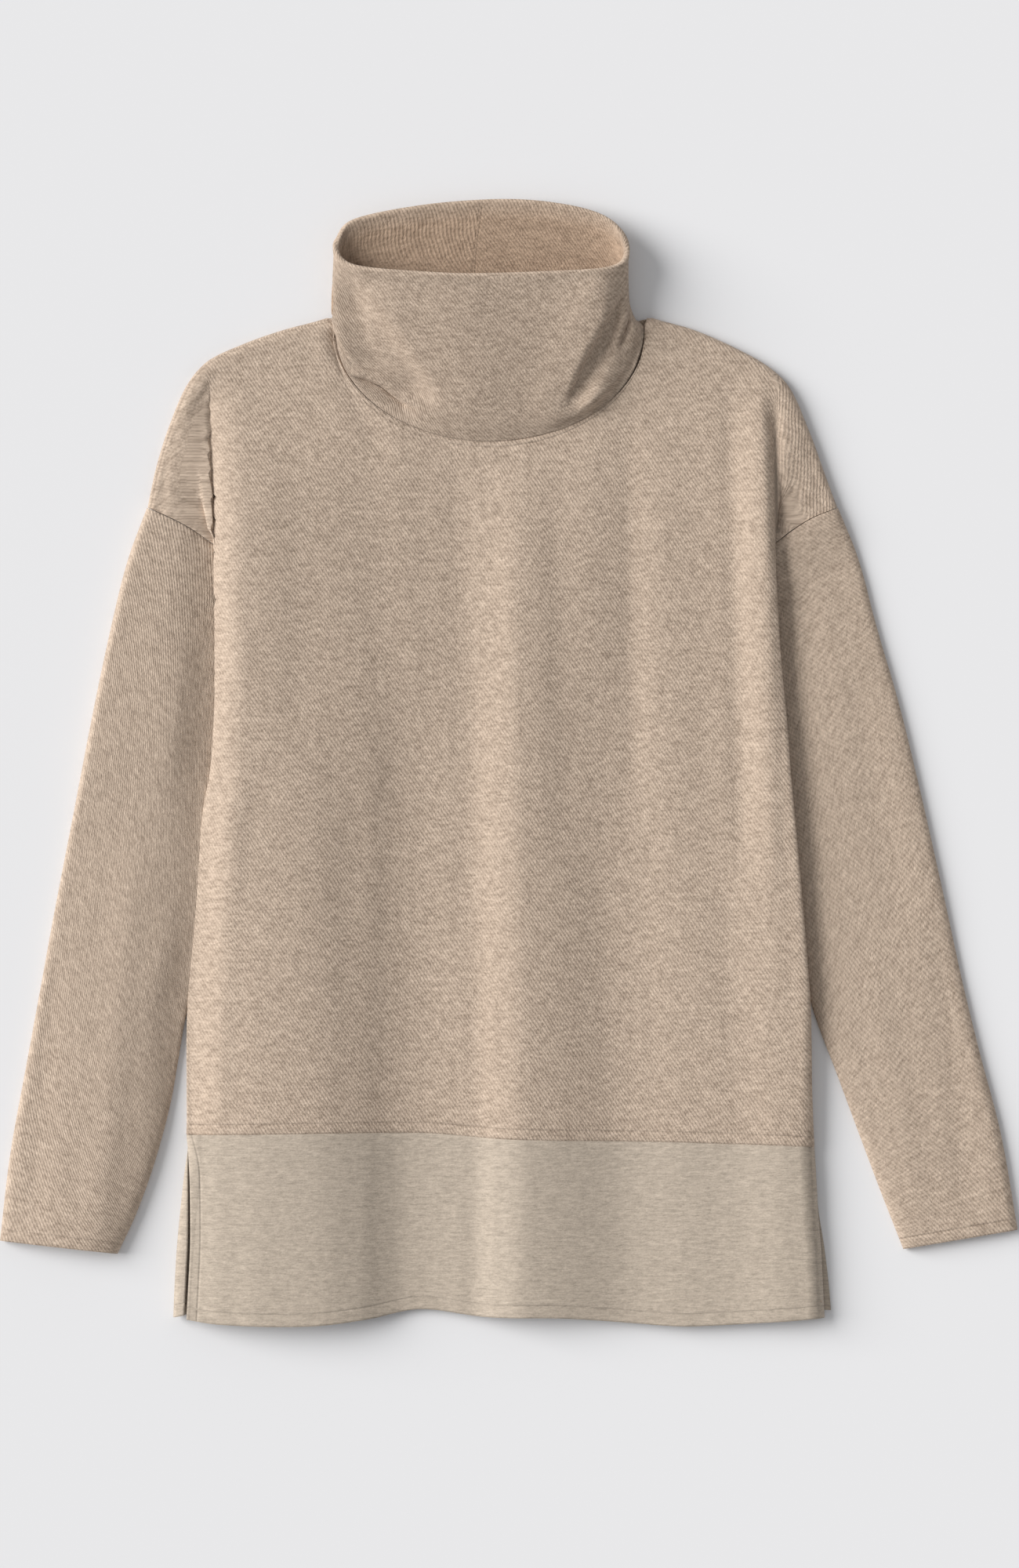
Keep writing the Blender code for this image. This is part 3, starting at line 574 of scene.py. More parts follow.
def back_sections():
    """The back of the body, flat on the surface, from the shoulders and neck to the seam of the hem band."""
    left = keyed_by_length(SHOULDER_LEFT[::-1])
    right = keyed_by_length(SHOULDER_RIGHT)
    top = [tuple(blended(left, s)) for s in spread(0, 1, 9)[:-1]]
    top += [neck_back(s) for s in spread(0, 1, BACK_COLUMNS - 8)]
    top += [tuple(blended(right, s)) for s in spread(0, 1, 9)[1:]]
    sides = back_side(-1), back_side(1)
    waist_left, waist_right = sides[0][-1], sides[1][-1]
    under_arm = [keyed_by_length(side)[len(armhole_line(-1)) - 1][0] for side in sides]
    stops = [armhole_shares(sign) for sign in (-1, 1)]
    grid = []
    for step in range(len(stops[0]) + BACK_ROWS):
        if step < len(stops[0]):
            fractions = [stops[0][step] * under_arm[0], stops[1][step] * under_arm[1]]
            down = stops[0][step] * BACK_ARMHOLE_PART
        else:
            part = (step - len(stops[0]) + 1) / BACK_ROWS
            fractions = [mix(arm, 1.0, part) for arm in under_arm]
            down = mix(BACK_ARMHOLE_PART, 1.0, part)
        edge_left = along(sides[0], fractions[0])
        edge_right = along(sides[1], fractions[1])
        row = []
        for i, (top_x, top_y) in enumerate(top):
            share = i / (len(top) - 1)
            bottom_x = mix(waist_left[0], waist_right[0], share)
            bottom_y = waist_y(bottom_x)
            x = mix(top_x, bottom_x, down) + mix(
                edge_left[0] - mix(top[0][0], waist_left[0], down),
                edge_right[0] - mix(top[-1][0], waist_right[0], down),
                share,
            )
            y = mix(top_y, bottom_y, down) + mix(
                edge_left[1] - mix(top[0][1], waist_left[1], down),
                edge_right[1] - mix(top[-1][1], waist_right[1], down),
                share,
            )
            row.append([x, y, level_back(shoulder_depth(x, y))])
        grid.append(row)
    return grid


def armhole_shares(sign):
    """Where the armhole seam has its points, as shares of its length, with more by the rolled edge."""
    keyed = keyed_by_length(armhole_line(sign))
    length = sum(math.dist(a[1:], b[1:]) for a, b in zip(keyed, keyed[1:]))
    return [d / length for d in ROLL_STEPS] + [row[0] for row in keyed[1:]]


def sleeve_sections(sign, table):
    """One sleeve, a flattened tube from the armhole seam to the cuff."""
    armhole = armhole_line(sign)
    lean = SLEEVE_LEAN_LEFT if sign < 0 else SLEEVE_LEAN_RIGHT
    grid = []
    for k in range(SLEEVE_RINGS + 1):
        reach = (k / SLEEVE_RINGS) ** 1.15
        outer_x, outer_y, inner_x, inner_y, crown = blended(table, reach)
        width = math.dist((outer_x, outer_y), (inner_x, inner_y))
        places = [share * width for share in armhole_shares(sign)[len(ROLL_STEPS) : -1]]
        top = list(ROLL_STEPS) + places + [width - d for d in reversed(ROLL_STEPS)]
        under = top[-2:0:-1]
        ring = []
        for layer, places in (("top", top), ("under", under)):
            for across in places:
                share = across / width
                x, y = mix(outer_x, inner_x, share), mix(outer_y, inner_y, share)
                seam_x, seam_y = along(armhole, share)
                line_x = mix(armhole[0][0], armhole[-1][0], share)
                line_y = mix(armhole[0][1], armhole[-1][1], share)
                hold = (1 - reach) ** 3
                gap = ARMHOLE_GAP + UNDERARM_GAP * ramp(0.8, 1.0, share)
                x += (seam_x - line_x + sign * gap) * hold
                y += (seam_y - line_y - ARMHOLE_GAP) * hold
                fold, _, end = side_of(sign, y)
                out = sign * x - seam_distance(sign, y)
                start = min(SLEEVE_EDGE_HEIGHT + 0.3, end - 2.1) if y >= UNDERARM_Y else 3.4
                low = mix(start, SLEEVE_EDGE_HEIGHT + 0.3, ramp(0, 26, out))
                clear_of_side = ramp(SLEEVE_CLEAR_OF_SIDE, 30.0, sign * x - fold)
                high = low + (crown - low) * math.sin(math.pi * share**lean) ** 0.55 * clear_of_side
                edge = mix(ROLLED_EDGE_LEVEL, (TABLE_LEVEL + low) / 2, ramp(0.2, 0.8, share))
                depth = min(across, width - across) / SHOULDER_ROLL
                roll = math.sqrt(1 - (1 - min(depth, 1.0)) ** 2)
                z = mix(edge, high if layer == "top" else TABLE_LEVEL, roll)
                ring.append([x, y, z])
        grid.append(ring)
    return grid


def collar_base(angle):
    """A point on the collar's seam. The angle runs from -180 to 180 degrees, with the front below zero."""
    turn = math.radians(angle)
    x = NECK["x"] + (NECK["half_width"] - COLLAR_INSET) * math.cos(turn)
    from_side = min(abs(angle), 180 - abs(angle))
    if angle <= 0:
        y = NECK["y"] + (NECK["depth"] - COLLAR_INSET) * math.sin(turn)
        x -= math.copysign(CORNER_INSET, math.cos(turn)) * ramp(26, 8, from_side)
        return x, y, mix(6.0, NECK_LEVEL, ramp(0, 14, from_side))
    bow = 1 - ((x - NECK["x"]) / NECK["half_width"]) ** 2
    y = SHOULDER_LEFT[0][1] - BACK_NECK_DROP * bow + BACK_COLLAR_INSET
    y = mix(NECK["y"], y, ramp(0, 26, from_side))
    x -= math.copysign(CORNER_INSET, math.cos(turn)) * ramp(40, 10, from_side)
    return x, y, mix(6.0, COLLAR_THICKNESS / 2, ramp(0, 30, from_side))


def collar_sections():
    """The funnel collar, leaning back on itself with its folds."""
    rows = sorted((((row[0] + 180) % 360) - 180, *row[1:]) for row in COLLAR)
    wrapped = [(row[0] - 360, *row[1:]) for row in rows[-3:]]
    wrapped += rows
    wrapped += [(row[0] + 360, *row[1:]) for row in rows[:3]]
    grid = []
    for j in range(COLLAR_RINGS + 1):
        up = j / COLLAR_RINGS
        ring = []
        for i in range(COLLAR_STEPS):
            angle = -180 + 360 * i / COLLAR_STEPS
            values = blended(wrapped, angle)
            stations = [(0.0, *collar_base(angle)), (0.3, *values[:3])]
            stations += [(0.62, *values[3:6]), (1.0, *values[6:9])]
            ring.append(blended(stations, up))
        grid.append(ring)
    return grid


def left_slit_point(x_fold, level, turn):
    """A point on the cloth's round at the left slit. The turn is -90 below, 0 at the fold and 90 on top."""
    inset = SLIT_ROLL * (1 - math.cos(math.radians(turn)))
    middle = (TABLE_LEVEL + level) / 2
    return -x_fold + inset, middle + (level - middle) * math.sin(math.radians(turn))


def front_band_sections():
    """The front hem band, from the waist seam to the hem."""
    grid = []
    for j in range(BAND_ROWS + 1):
        down = j / BAND_ROWS
        row = []
        y_side = mix(WAIST_SEAM[0][1] - SEAM_GAP, HEM_LINE[0][1], down)
        left_fold, slit_turn, _, _ = blended(BAND_EDGE, y_side)
        level = front_height(-left_fold + SLIT_ROLL, y_side)
        for step in spread(0, 1, 5)[:-1]:
            x, z = left_slit_point(left_fold, level, mix(slit_turn, 90, step))
            row.append([x, y_side, z])
        y_side = mix(WAIST_SEAM[-1][1] - SEAM_GAP, HEM_LINE[-1][1], down)
        right_edge = blended(BAND_EDGE, y_side)[2]
        for x in spread(-left_fold + SLIT_ROLL, right_edge - SLIT_ROLL, CENTRE_COLUMNS):
            row.append([x, 0.0, 0.0])
        for step in spread(0, 1, 5)[1:]:
            turn = mix(90, 0, step)
            row.append([right_edge - SLIT_ROLL * (1 - math.cos(math.radians(turn))), 0.0, turn])
        for i, point in enumerate(row):
            top_y = waist_y(point[0]) - SEAM_GAP
            point[1] = mix(top_y, blended(HEM_LINE, point[0])[0], down)
            if i >= 5:
                height = front_height(point[0], point[1])
                drop = math.sin(math.radians(point[2])) if point[2] or i > CENTRE_COLUMNS + 5 else 1.0
                point[2] = mix(SLIT_EDGE_LEVEL, height, drop)
        grid.append(row)
    return grid


def back_band_sections():
    """The back hem band, flat on the surface, with its left end turned up round the fold."""
    grid = []
    for j in range(BAND_ROWS + 1):
        down = j / BAND_ROWS
        row = []
        y_side = mix(WAIST_SEAM[0][1] - SEAM_GAP, BACK_HEM_LINE[0][1], down)
        left_fold, slit_turn, _, back_right = blended(BAND_EDGE, y_side)
        level = front_height(-left_fold + SLIT_ROLL, y_side)
        for step in spread(0, 1, 10)[:-1]:
            x, z = left_slit_point(left_fold, level, mix(slit_turn - SLIT_GAP_TURN, -90, step))
            row.append([x, y_side, max(z, BAND_THICKNESS / 2)])
        for x in spread(-left_fold + SLIT_ROLL, back_right, 20):
            row.append([x, 0.0, BAND_THICKNESS / 2])
        for point in row:
            top_y = waist_y(point[0]) - SEAM_GAP
            point[1] = mix(top_y, blended(BACK_HEM_LINE, point[0])[0], down)
        grid.append(row)
    return grid


# Soft creases of the front, placed over its main folds
FRONT_CREASES = [
    # start x, y, end x, y, half width, height
    (-207.0, 288.0, -203.0, -90.0, 13.0, 1.7),
    (-203.0, 20.0, -216.0, -268.0, 12.0, 1.4),
    (-141.0, 322.0, -134.0, 300.0, 3.6, 1.5),
    (-131.0, 321.0, -122.0, 288.0, 3.8, -2.2),
    (-122.0, 286.0, -98.0, 232.0, 9.0, -1.0),
    (-160.0, 250.0, -152.0, 40.0, 22.0, -1.0),
    (-118.0, 150.0, -112.0, -40.0, 24.0, 0.8),
    (-84.0, 250.0, -70.0, 60.0, 15.0, 0.7),
    (-101.0, 10.0, -108.0, -268.0, 11.0, 0.9),
    (-40.0, 230.0, -33.0, -120.0, 13.0, -0.8),
    (34.0, 200.0, 40.0, -60.0, 13.0, -0.9),
    (58.0, 240.0, 66.0, 60.0, 15.0, 0.8),
    (88.0, 250.0, 90.0, -10.0, 9.0, -1.0),
    (163.0, 262.0, 172.0, -60.0, 10.0, -2.4),
    (187.0, 268.0, 195.0, -80.0, 8.0, 1.6),
    (194.5, 262.0, 199.0, 150.0, 5.0, -4.6),
    (214.0, 246.0, 222.0, 196.0, 9.0, 1.2),
    (-28.0, 60.0, -25.0, -268.0, 9.0, -0.7),
    (62.0, -60.0, 76.0, -276.0, 15.0, -0.4),
    (140.0, -90.0, 158.0, -278.0, 18.0, 0.9),
    (211.0, 20.0, 229.0, -276.0, 12.0, 3.2),
]
LEFT_SLEEVE_CREASES = [
    (-276.0, -60.0, -304.0, -350.0, 13.0, 1.5),
    (-237.0, -50.0, -253.0, -170.0, 8.0, 1.4),
    (-236.0, -10.0, -262.0, -170.0, 9.0, 0.9),
    (-336.0, -150.0, -352.0, -330.0, 10.0, -0.9),
]
RIGHT_SLEEVE_CREASES = [
    (199.0, 172.0, 204.0, 60.0, 6.0, -2.6),
    (232.0, 130.0, 256.0, -20.0, 12.0, 0.4),
    (258.0, 60.0, 286.0, -110.0, 14.0, -0.8),
    (268.0, -150.0, 304.0, -340.0, 12.0, 0.7),
    (318.0, -120.0, 338.0, -320.0, 13.0, -1.0),
]
BAND_CREASES = [
    (-214.0, -276.0, -216.0, -420.0, 12.0, 1.2),
    (-108.0, -276.0, -106.0, -420.0, 11.0, 1.0),
    (-84.0, -276.0, -80.0, -420.0, 10.0, -0.5),
    (229.0, -276.0, 236.0, -420.0, 12.0, 2.0),
    (-26.0, -276.0, -27.0, -420.0, 9.0, -0.9),
    (80.0, -276.0, 88.0, -420.0, 15.0, -0.3),
]

# Edges of the collar's folds. The cloth is high on the left of each line and drops on its right.
COLLAR_DROPS = [
    # line in plan, drop, width of the drop, width over which it comes back, swell on the high side
    ([(-122.0, 372.0), (-116.0, 358.0), (-104.0, 341.0), (-92.0, 325.0), (-80.0, 308.0), (-68.5, 292.0),
      (-58.0, 277.0), (-50.0, 262.0)], 6.2, 16.0, 24.0, 0.6),
    ([(40.0, 262.0), (45.5, 278.4), (52.0, 293.5), (60.2, 309.1), (68.3, 323.6), (79.0, 343.0),
      (86.0, 358.0)], 3.0, 3.0, 7.0, 2.4),
    ([(-124.0, 291.0), (-118.0, 288.4), (-106.0, 286.6), (-92.8, 280.7), (-80.0, 270.3), (-64.0, 261.0)],
     3.8, 3.0, 6.0, 2.0),
    ([(79.0, 306.0), (82.0, 317.0), (85.4, 326.0), (87.0, 338.0), (87.5, 352.0)], 4.6, 2.6, 5.0, 1.2),
]
COLLAR_SWELLS = [
    # start x, y, end x, y, half width, height
    (34.0, 250.0, 72.0, 358.0, 26.0, 5.0),
    (57.0, 258.0, 94.0, 334.0, 11.0, 6.5),
    (-114.0, 380.0, -102.0, 290.0, 17.0, -2.6),
    (-30.0, 350.0, -26.0, 268.0, 26.0, 1.0),
]
RIM_SWELL = 1.5
RIM_STEPS = 7
CENTRE_BACK_ANGLE = 97.0

# The roll of the body's left side down to its edge, below the shoulder's pleat
LEFT_ROLL = [
    # y, x of the side's edge, how much lower the edge lies, width of the roll
    (-300.0, -238.0, 5.6, 26.0),
    (-190.0, -238.5, 5.6, 27.0),
    (-100.0, -233.5, 5.0, 24.0),
    (-14.0, -226.5, 5.0, 18.0),
    (60.0, -220.5, 5.6, 16.0),
]
ROLL_ENDS_Y = 60.0
ROLL_FADE = 50.0
UNROLLED_LEVEL = 2.7
ROLLED_RISE = 7.0

# The left shoulder's pleat: the fold of the body, and the cloth of the cap and sleeve that slopes down to it
LEFT_FOLD = [
    # y, x of the fold, height of its edge, height of the cloth below it
    (-60.0, -227.0, 9.0, 6.5),
    (-14.0, -220.5, 9.0, 5.2),
    (44.0, -217.2, 9.0, 4.0),
    (102.0, -217.2, 8.8, 3.8),
    (160.0, -218.2, 8.2, 3.9),
    (200.0, -220.0, 7.0, 4.0),
    (240.0, -221.6, 5.4, 4.0),
    (262.0, -222.0, 5.6, 4.3),
    (276.0, -221.5, 6.6, 5.6),
    (292.0, -220.5, 8.6, 8.0),
]
FOLD_STARTS_Y = -40.0
FOLD_FADE_BELOW = 50.0
FOLD_ENDS_Y = 292.0
FOLD_FADE_ABOVE = 8.0
SLOPE_TO_FOLD = [
    # distance from the fold, height above the cloth at the fold
    (0.0, 0.0),
    (5.0, 1.0),
    (10.0, 2.3),
    (15.0, 3.5),
    (20.0, 4.5),
    (25.0, 5.2),
    (32.0, 5.8),
    (42.0, 6.3),
    (60.0, 6.9),
    (80.0, 7.5),
]
SLOPE_STARTS_Y = -60.0
SLOPE_FADE_BELOW = 80.0
SLOPE_ENDS_Y = 300.0
SLOPE_FADE_ABOVE = 24.0
PLAIN_CAP_LEVEL = 8.3
TOP_LAYER_LEVEL = 4.6
TOP_LAYER_RISE = 2.0

# Rows of the front's fine grid between which its fold moves from one column to another, the column up to
# which the cap lies tucked under, and the one from which the body is level again
PLEAT_ROWS = (38, 48)
PLEAT_COLUMNS = (27, 16)
TUCKED_COLUMN = 24
LEVEL_COLUMN = 33

# The body's roll down to the fold, and the layer that is kept inside the fold and under the roll
FOLD_ROLL_WIDTH = 24.0
FOLD_ROLL_POWER = 2.2
FOLD_TURN_IN = 0.4
FOLD_TURN_DOWN = 1.0
HIDDEN_ROWS_ABOVE = 5
HIDDEN_INSET = 0.6
HIDDEN_DROP = 2.6
CAP_END_Y = 176.0
CAP_END_FADE = 10.0
CAP_PART_OF_PLEAT = 0.2

COVER_SEAM = 0.7
SLEEVE_COVER = 0.45
SLEEVE_FLATTENED = {-1: 0.85, 1: 0.52}
SLEEVE_FLATTENS_OVER = 45.0
RIGHT_SLEEVE_LEVEL = 6.2
RIGHT_SLEEVE_PRESSED = 0.7

# The pleats of the shoulders turn the cloth beyond them: pivot, lowest y that turns, and turn in degrees
PLEAT_TURNS = {-1: (-224.0, 288.0, 110.0, -40.0), 1: (193.0, 276.0, 140.0, 35.0)}
RIGHT_PLEAT_X = 195.0
TURN_WIDTH = 3.0
TURN_COLUMNS = 2.0
TURN_FADE = 30.0


def smooth(share):
    share = np.clip(share, 0.0, 1.0)
    return share * share * (3 - 2 * share)


def creased(points, creases, hold=1.0):
    """Adds the soft ridges and troughs of a table of creases to the heights of the points."""
    for x0, y0, x1, y1, width, height in creases:
        dx, dy = x1 - x0, y1 - y0
        length = math.hypot(dx, dy)
        along_it = ((points[..., 0] - x0) * dx + (points[..., 1] - y0) * dy) / length**2
        off = ((points[..., 0] - x0) * dy - (points[..., 1] - y0) * dx) / length
        ends = smooth(np.minimum(along_it, 1 - along_it) * 4 + 0.5)
        lean = np.where(off > 0, 1.0, 1.3) if height > 0 else np.where(off > 0, 1.3, 1.0)
        points[..., 2] += height * hold * ends * np.exp(-((off * lean / width) ** 2))


def beside_line(points, line):
    """How far each point is from a line in plan, plus on its right, and where along it from 0 to 1."""
    line = np.array(line, dtype=float)[:, :2]
    runs = np.linalg.norm(np.diff(line, axis=0), axis=1)
    starts = np.concatenate([[0.0], np.cumsum(runs)])
    nearest = np.full(points.shape[:-1], 1e9)
    off = np.zeros_like(nearest)
    along_it = np.zeros_like(nearest)
    for k, run in enumerate(runs):
        ahead = (line[k + 1] - line[k]) / run
        x = points[..., 0] - line[k, 0]
        y = points[..., 1] - line[k, 1]
        far = np.clip(x * ahead[0] + y * ahead[1], 0, run)
        gap = np.hypot(x - far * ahead[0], y - far * ahead[1])
        nearer = gap < nearest
        nearest = np.where(nearer, gap, nearest)
        off = np.where(nearer, gap * np.sign(x * ahead[1] - y * ahead[0]), off)
        along_it = np.where(nearer, (starts[k] + far) / starts[-1], along_it)
    return off, along_it


def dropped(points, drops, hold):
    """Lowers the points on the right of each line, steeply at the line and then back over a wider strip."""
    for line, depth, width, back, swell in drops:
        off, along_it = beside_line(points, line)
        ends = smooth(np.minimum(along_it, 1 - along_it) / 0.24)
        low_side = smooth(off / width + 0.5)
        fall = depth * low_side * np.exp(-((np.maximum(off, 0.0) / back) ** 2))
        rise = swell * (1 - low_side) * np.exp(-((off / 7.0) ** 2))
        points[..., 2] += (rise - fall) * ends * hold


def finer(points, steps, closed=False):
    """A smooth grid through the given rows of points, with steps rows for each one."""
    points = np.asarray(points, dtype=float)
    if closed:
        points = np.concatenate([points[-1:], points, points[:2]])
    gaps = np.linalg.norm(np.diff(points, axis=0), axis=-1) + 1e-6
    keys = np.concatenate([np.zeros((1,) + gaps.shape[1:]), np.cumsum(gaps, axis=0)])[..., None]
    slopes = np.empty_like(points)
    slopes[1:-1] = (points[2:] - points[:-2]) / (keys[2:] - keys[:-2])
    slopes[0] = (points[1] - points[0]) / (keys[1] - keys[0])
    slopes[-1] = (points[-1] - points[-2]) / (keys[-1] - keys[-2])
    rows = []
    first, last = (1, len(points) - 2) if closed else (0, len(points) - 1)
    for k in range(first, last):
        width = keys[k + 1] - keys[k]
        for step in range(steps):
            t = step / steps
            rows.append(
                (2 * t**3 - 3 * t**2 + 1) * points[k]
                + (t**3 - 2 * t**2 + t) * width * slopes[k]
                + (3 * t**2 - 2 * t**3) * points[k + 1]
                + (t**3 - t**2) * width * slopes[k + 1]
            )
    if not closed:
        rows.append(points[-1])
    return np.array(rows)


def finer_grid(grid, row_steps, column_steps, closed=False):
    fine = finer(np.asarray(grid, dtype=float), row_steps)
    return finer(fine.transpose(1, 0, 2), column_steps, closed).transpose(1, 0, 2)


def length_along(points, axis):
    """How far along its row, or its column, each point of a grid is."""
    steps = np.linalg.norm(np.diff(points, axis=axis), axis=-1)
    start = np.zeros_like(np.take(steps, [0], axis=axis))
    return np.concatenate([start, np.cumsum(steps, axis=axis)], axis=axis)


def two(a, b):
    return np.stack([a, b], axis=-1)


def drawn_out(points, distance):
    """Moves the first row of a grid out over its seam, so that the sewn pieces meet."""
    ahead = points[0] - points[1]
    points[0] += ahead / (np.linalg.norm(ahead, axis=-1, keepdims=True) + 1e-9) * distance


def cloth_mesh(name, points, cloth_uv, edge_uv, material, closed=False, up=True):
    """A mesh from a fine grid in millimetres, with its two maps in metres."""
    rows, columns = points.shape[:2]
    faces = []
    corners = []
    for j in range(rows - 1):
        for i in range(columns if closed else columns - 1):
            k = (i + 1) % columns
            face = [(j, i), (j, i + 1), (j + 1, i + 1), (j + 1, i)]
            quad = [j * columns + i, j * columns + k, (j + 1) * columns + k, (j + 1) * columns + i]
            if not up:
                face, quad = face[::-1], quad[::-1]
            faces.append(quad)
            corners += face
    mesh = bpy.data.meshes.new(name)
    mesh.from_pydata((points.reshape(-1, 3) * MM).tolist(), [], faces)
    index = np.array(corners)
    for map_name, values in (("Cloth", cloth_uv), ("Edges", edge_uv)):
        if closed:
            wrap = values[:, :1].copy()
            wrap[..., 0] = 2 * values[:, -1:, 0] - values[:, -2:-1, 0]
            values = np.concatenate([values, wrap], axis=1)
        layer = mesh.uv_layers.new(name=map_name)
        layer.data.foreach_set("uv", (values[index[:, 0], index[:, 1]] * MM).astype(np.float32).ravel())
    mesh.shade_smooth()
    mesh.materials.append(material)
    return mesh


def placed(name, data):
    piece = bpy.data.objects.new(name, data)
    bpy.context.scene.collection.objects.link(piece)
    return piece


def cloth_sheet(name, points, cloth_uv, edge_uv, material, thickness, closed=False, up=True):
    """A piece of cloth from a fine grid of its middle surface, with its thickness and its soft edges."""
    piece = placed(name, cloth_mesh(name, points, cloth_uv, edge_uv, material, closed, up))
    wall = piece.modifiers.new("Wall", "SOLIDIFY")
    wall.thickness = thickness * MM
    wall.offset = 0.0
    soft = piece.modifiers.new("SoftEdge", "BEVEL")
    soft.limit_method = "ANGLE"
    soft.angle_limit = math.radians(50)
    soft.width = thickness * 0.22 * MM
    soft.segments = 3
    return piece


def top_normals(points):
    """Unit normals of a grid, pointing up where the cloth lies face up."""
    across = np.gradient(points, axis=1)
    down = np.gradient(points, axis=0)
    normals = np.cross(across, down)
    normals /= np.linalg.norm(normals, axis=-1, keepdims=True) + 1e-9
    return normals


def line_from_edge(points, distance, thickness, flip=1.0):
    """The line at a set distance from a grid's first row, lifted on to the cloth's face, and its normals."""
    far = length_along(points, 0)
    normals = top_normals(points) * flip
    line, lifts = [], []
    for i in range(points.shape[1]):
        k = int(np.searchsorted(far[:, i], distance))
        k = min(max(k, 1), len(points) - 1)
        part = (distance - far[k - 1, i]) / (far[k, i] - far[k - 1, i] + 1e-9)
        part = min(max(part, 0.0), 1.0)
        normal = normals[k - 1, i] * (1 - part) + normals[k, i] * part
        line.append(points[k - 1, i] * (1 - part) + points[k, i] * part + normal * thickness / 2)
        lifts.append(normal)
    return np.array(line), np.array(lifts)


def stitches(name, runs, material, pitch=3.0, length=2.2, width=0.55, height=0.26):
    """Thread stitches laid end to end along each run, which is a line of points with its normals."""
    profile = [(-0.5, 0.25), (-0.28, 0.92), (0.0, 1.0), (0.28, 0.92), (0.5, 0.25)]
    points, faces = [], []
    for line, lifts in runs:
        far = np.concatenate([[0.0], np.cumsum(np.linalg.norm(np.diff(line, axis=0), axis=1))])
        for n in range(int((far[-1] - pitch * 0.5) / pitch)):
            at = pitch * (0.6 + n)
            ends = []
            for half in (-0.5, 0.5):
                place = at + half * length
                ends.append(np.array([np.interp(place, far, line[:, c]) for c in range(3)]))
            lift = np.array([np.interp(at, far, lifts[:, c]) for c in range(3)])
            lift /= np.linalg.norm(lift) + 1e-9
            ahead = ends[1] - ends[0]
            ahead /= np.linalg.norm(ahead) + 1e-9
            side = np.cross(ahead, lift)
            middle = (ends[0] + ends[1]) / 2
            base = len(points)
            for place, size in profile:
                centre = middle + ahead * place * length - lift * (0.12 + 0.25 * (1 - size))
                for turn in range(6):
                    angle = math.tau * turn / 6
                    points.append(
                        centre
                        + side * math.cos(angle) * width / 2 * size
                        + lift * math.sin(angle) * height * size
                    )
            for ring in range(len(profile) - 1):
                for turn in range(6):
                    a = base + ring * 6 + turn
                    b = base + ring * 6 + (turn + 1) % 6
                    faces.append((a, b, b + 6, a + 6))
            faces.append(tuple(base + turn for turn in range(5, -1, -1)))
            faces.append(tuple(base + (len(profile) - 1) * 6 + turn for turn in range(6)))
    mesh = bpy.data.meshes.new(name)
    mesh.from_pydata((np.array(points) * MM).tolist(), [], faces)
    mesh.shade_smooth()
    mesh.materials.append(material)
    piece = placed(name, mesh)
    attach(piece, "root")
    return piece


def new_group(name, inputs, outputs):
    """An empty shader node group, with its first and last node. An input without a value is a map."""
    group = bpy.data.node_groups.new(name, "ShaderNodeTree")
    for socket_name, value in inputs.items():
        kind = "NodeSocketVector" if value is None else "NodeSocketFloat"
        socket = group.interface.new_socket(socket_name, in_out="INPUT", socket_type=kind)
        if value is not None:
            socket.default_value = value
    for socket_name in outputs:
        group.interface.new_socket(socket_name, in_out="OUTPUT", socket_type="NodeSocketFloat")
    return group, group.nodes.new("NodeGroupInput"), group.nodes.new("NodeGroupOutput")


def put(tree, value, socket):
    """Joins an output to a socket, or sets the socket to a plain value."""
    if isinstance(value, bpy.types.NodeSocket):
        tree.links.new(value, socket)
    else:
        socket.default_value = value


def math_node(tree, operation, *values, clamp=False):
    node = tree.nodes.new("ShaderNodeMath")
    node.operation = operation
    node.use_clamp = clamp
    for socket, value in zip(node.inputs, values):
        put(tree, value, socket)
    return node.outputs[0]


def times(tree, a, b):
    return math_node(tree, "MULTIPLY", a, b)


def plus(tree, a, b):
    return math_node(tree, "ADD", a, b)


def bell(tree, value, centre, width):
    """1 where the value is at the centre, falling smoothly to 0 beside it."""
    off = math_node(tree, "DIVIDE", math_node(tree, "SUBTRACT", value, centre), width)
    return math_node(tree, "EXPONENT", times(tree, times(tree, off, off), -1.0))


def contrast(tree, value, gain):
    """A noise value, which keeps near 0.5, spread out between 0 and 1."""
    return math_node(tree, "MULTIPLY_ADD", math_node(tree, "SUBTRACT", value, 0.5), gain, 0.5, clamp=True)


def noise(tree, vector, scale, detail=2.0, rough=0.5, stretch=None):
    if stretch is not None:
        mapping = tree.nodes.new("ShaderNodeMapping")
        mapping.inputs["Scale"].default_value = stretch
        put(tree, vector, mapping.inputs["Vector"])
        vector = mapping.outputs["Vector"]
    node = tree.nodes.new("ShaderNodeTexNoise")
    node.inputs["Scale"].default_value = scale
    node.inputs["Detail"].default_value = detail
    node.inputs["Roughness"].default_value = rough
    put(tree, vector, node.inputs["Vector"])
    return node.outputs["Fac"]


def colour_between(tree, share, first, second, blend="MIX"):
    node = tree.nodes.new("ShaderNodeMix")
    node.data_type = "RGBA"
    node.blend_type = blend
    put(tree, share, node.inputs[0])
    put(tree, first, node.inputs[6])
    put(tree, second, node.inputs[7])
    return node.outputs[2]


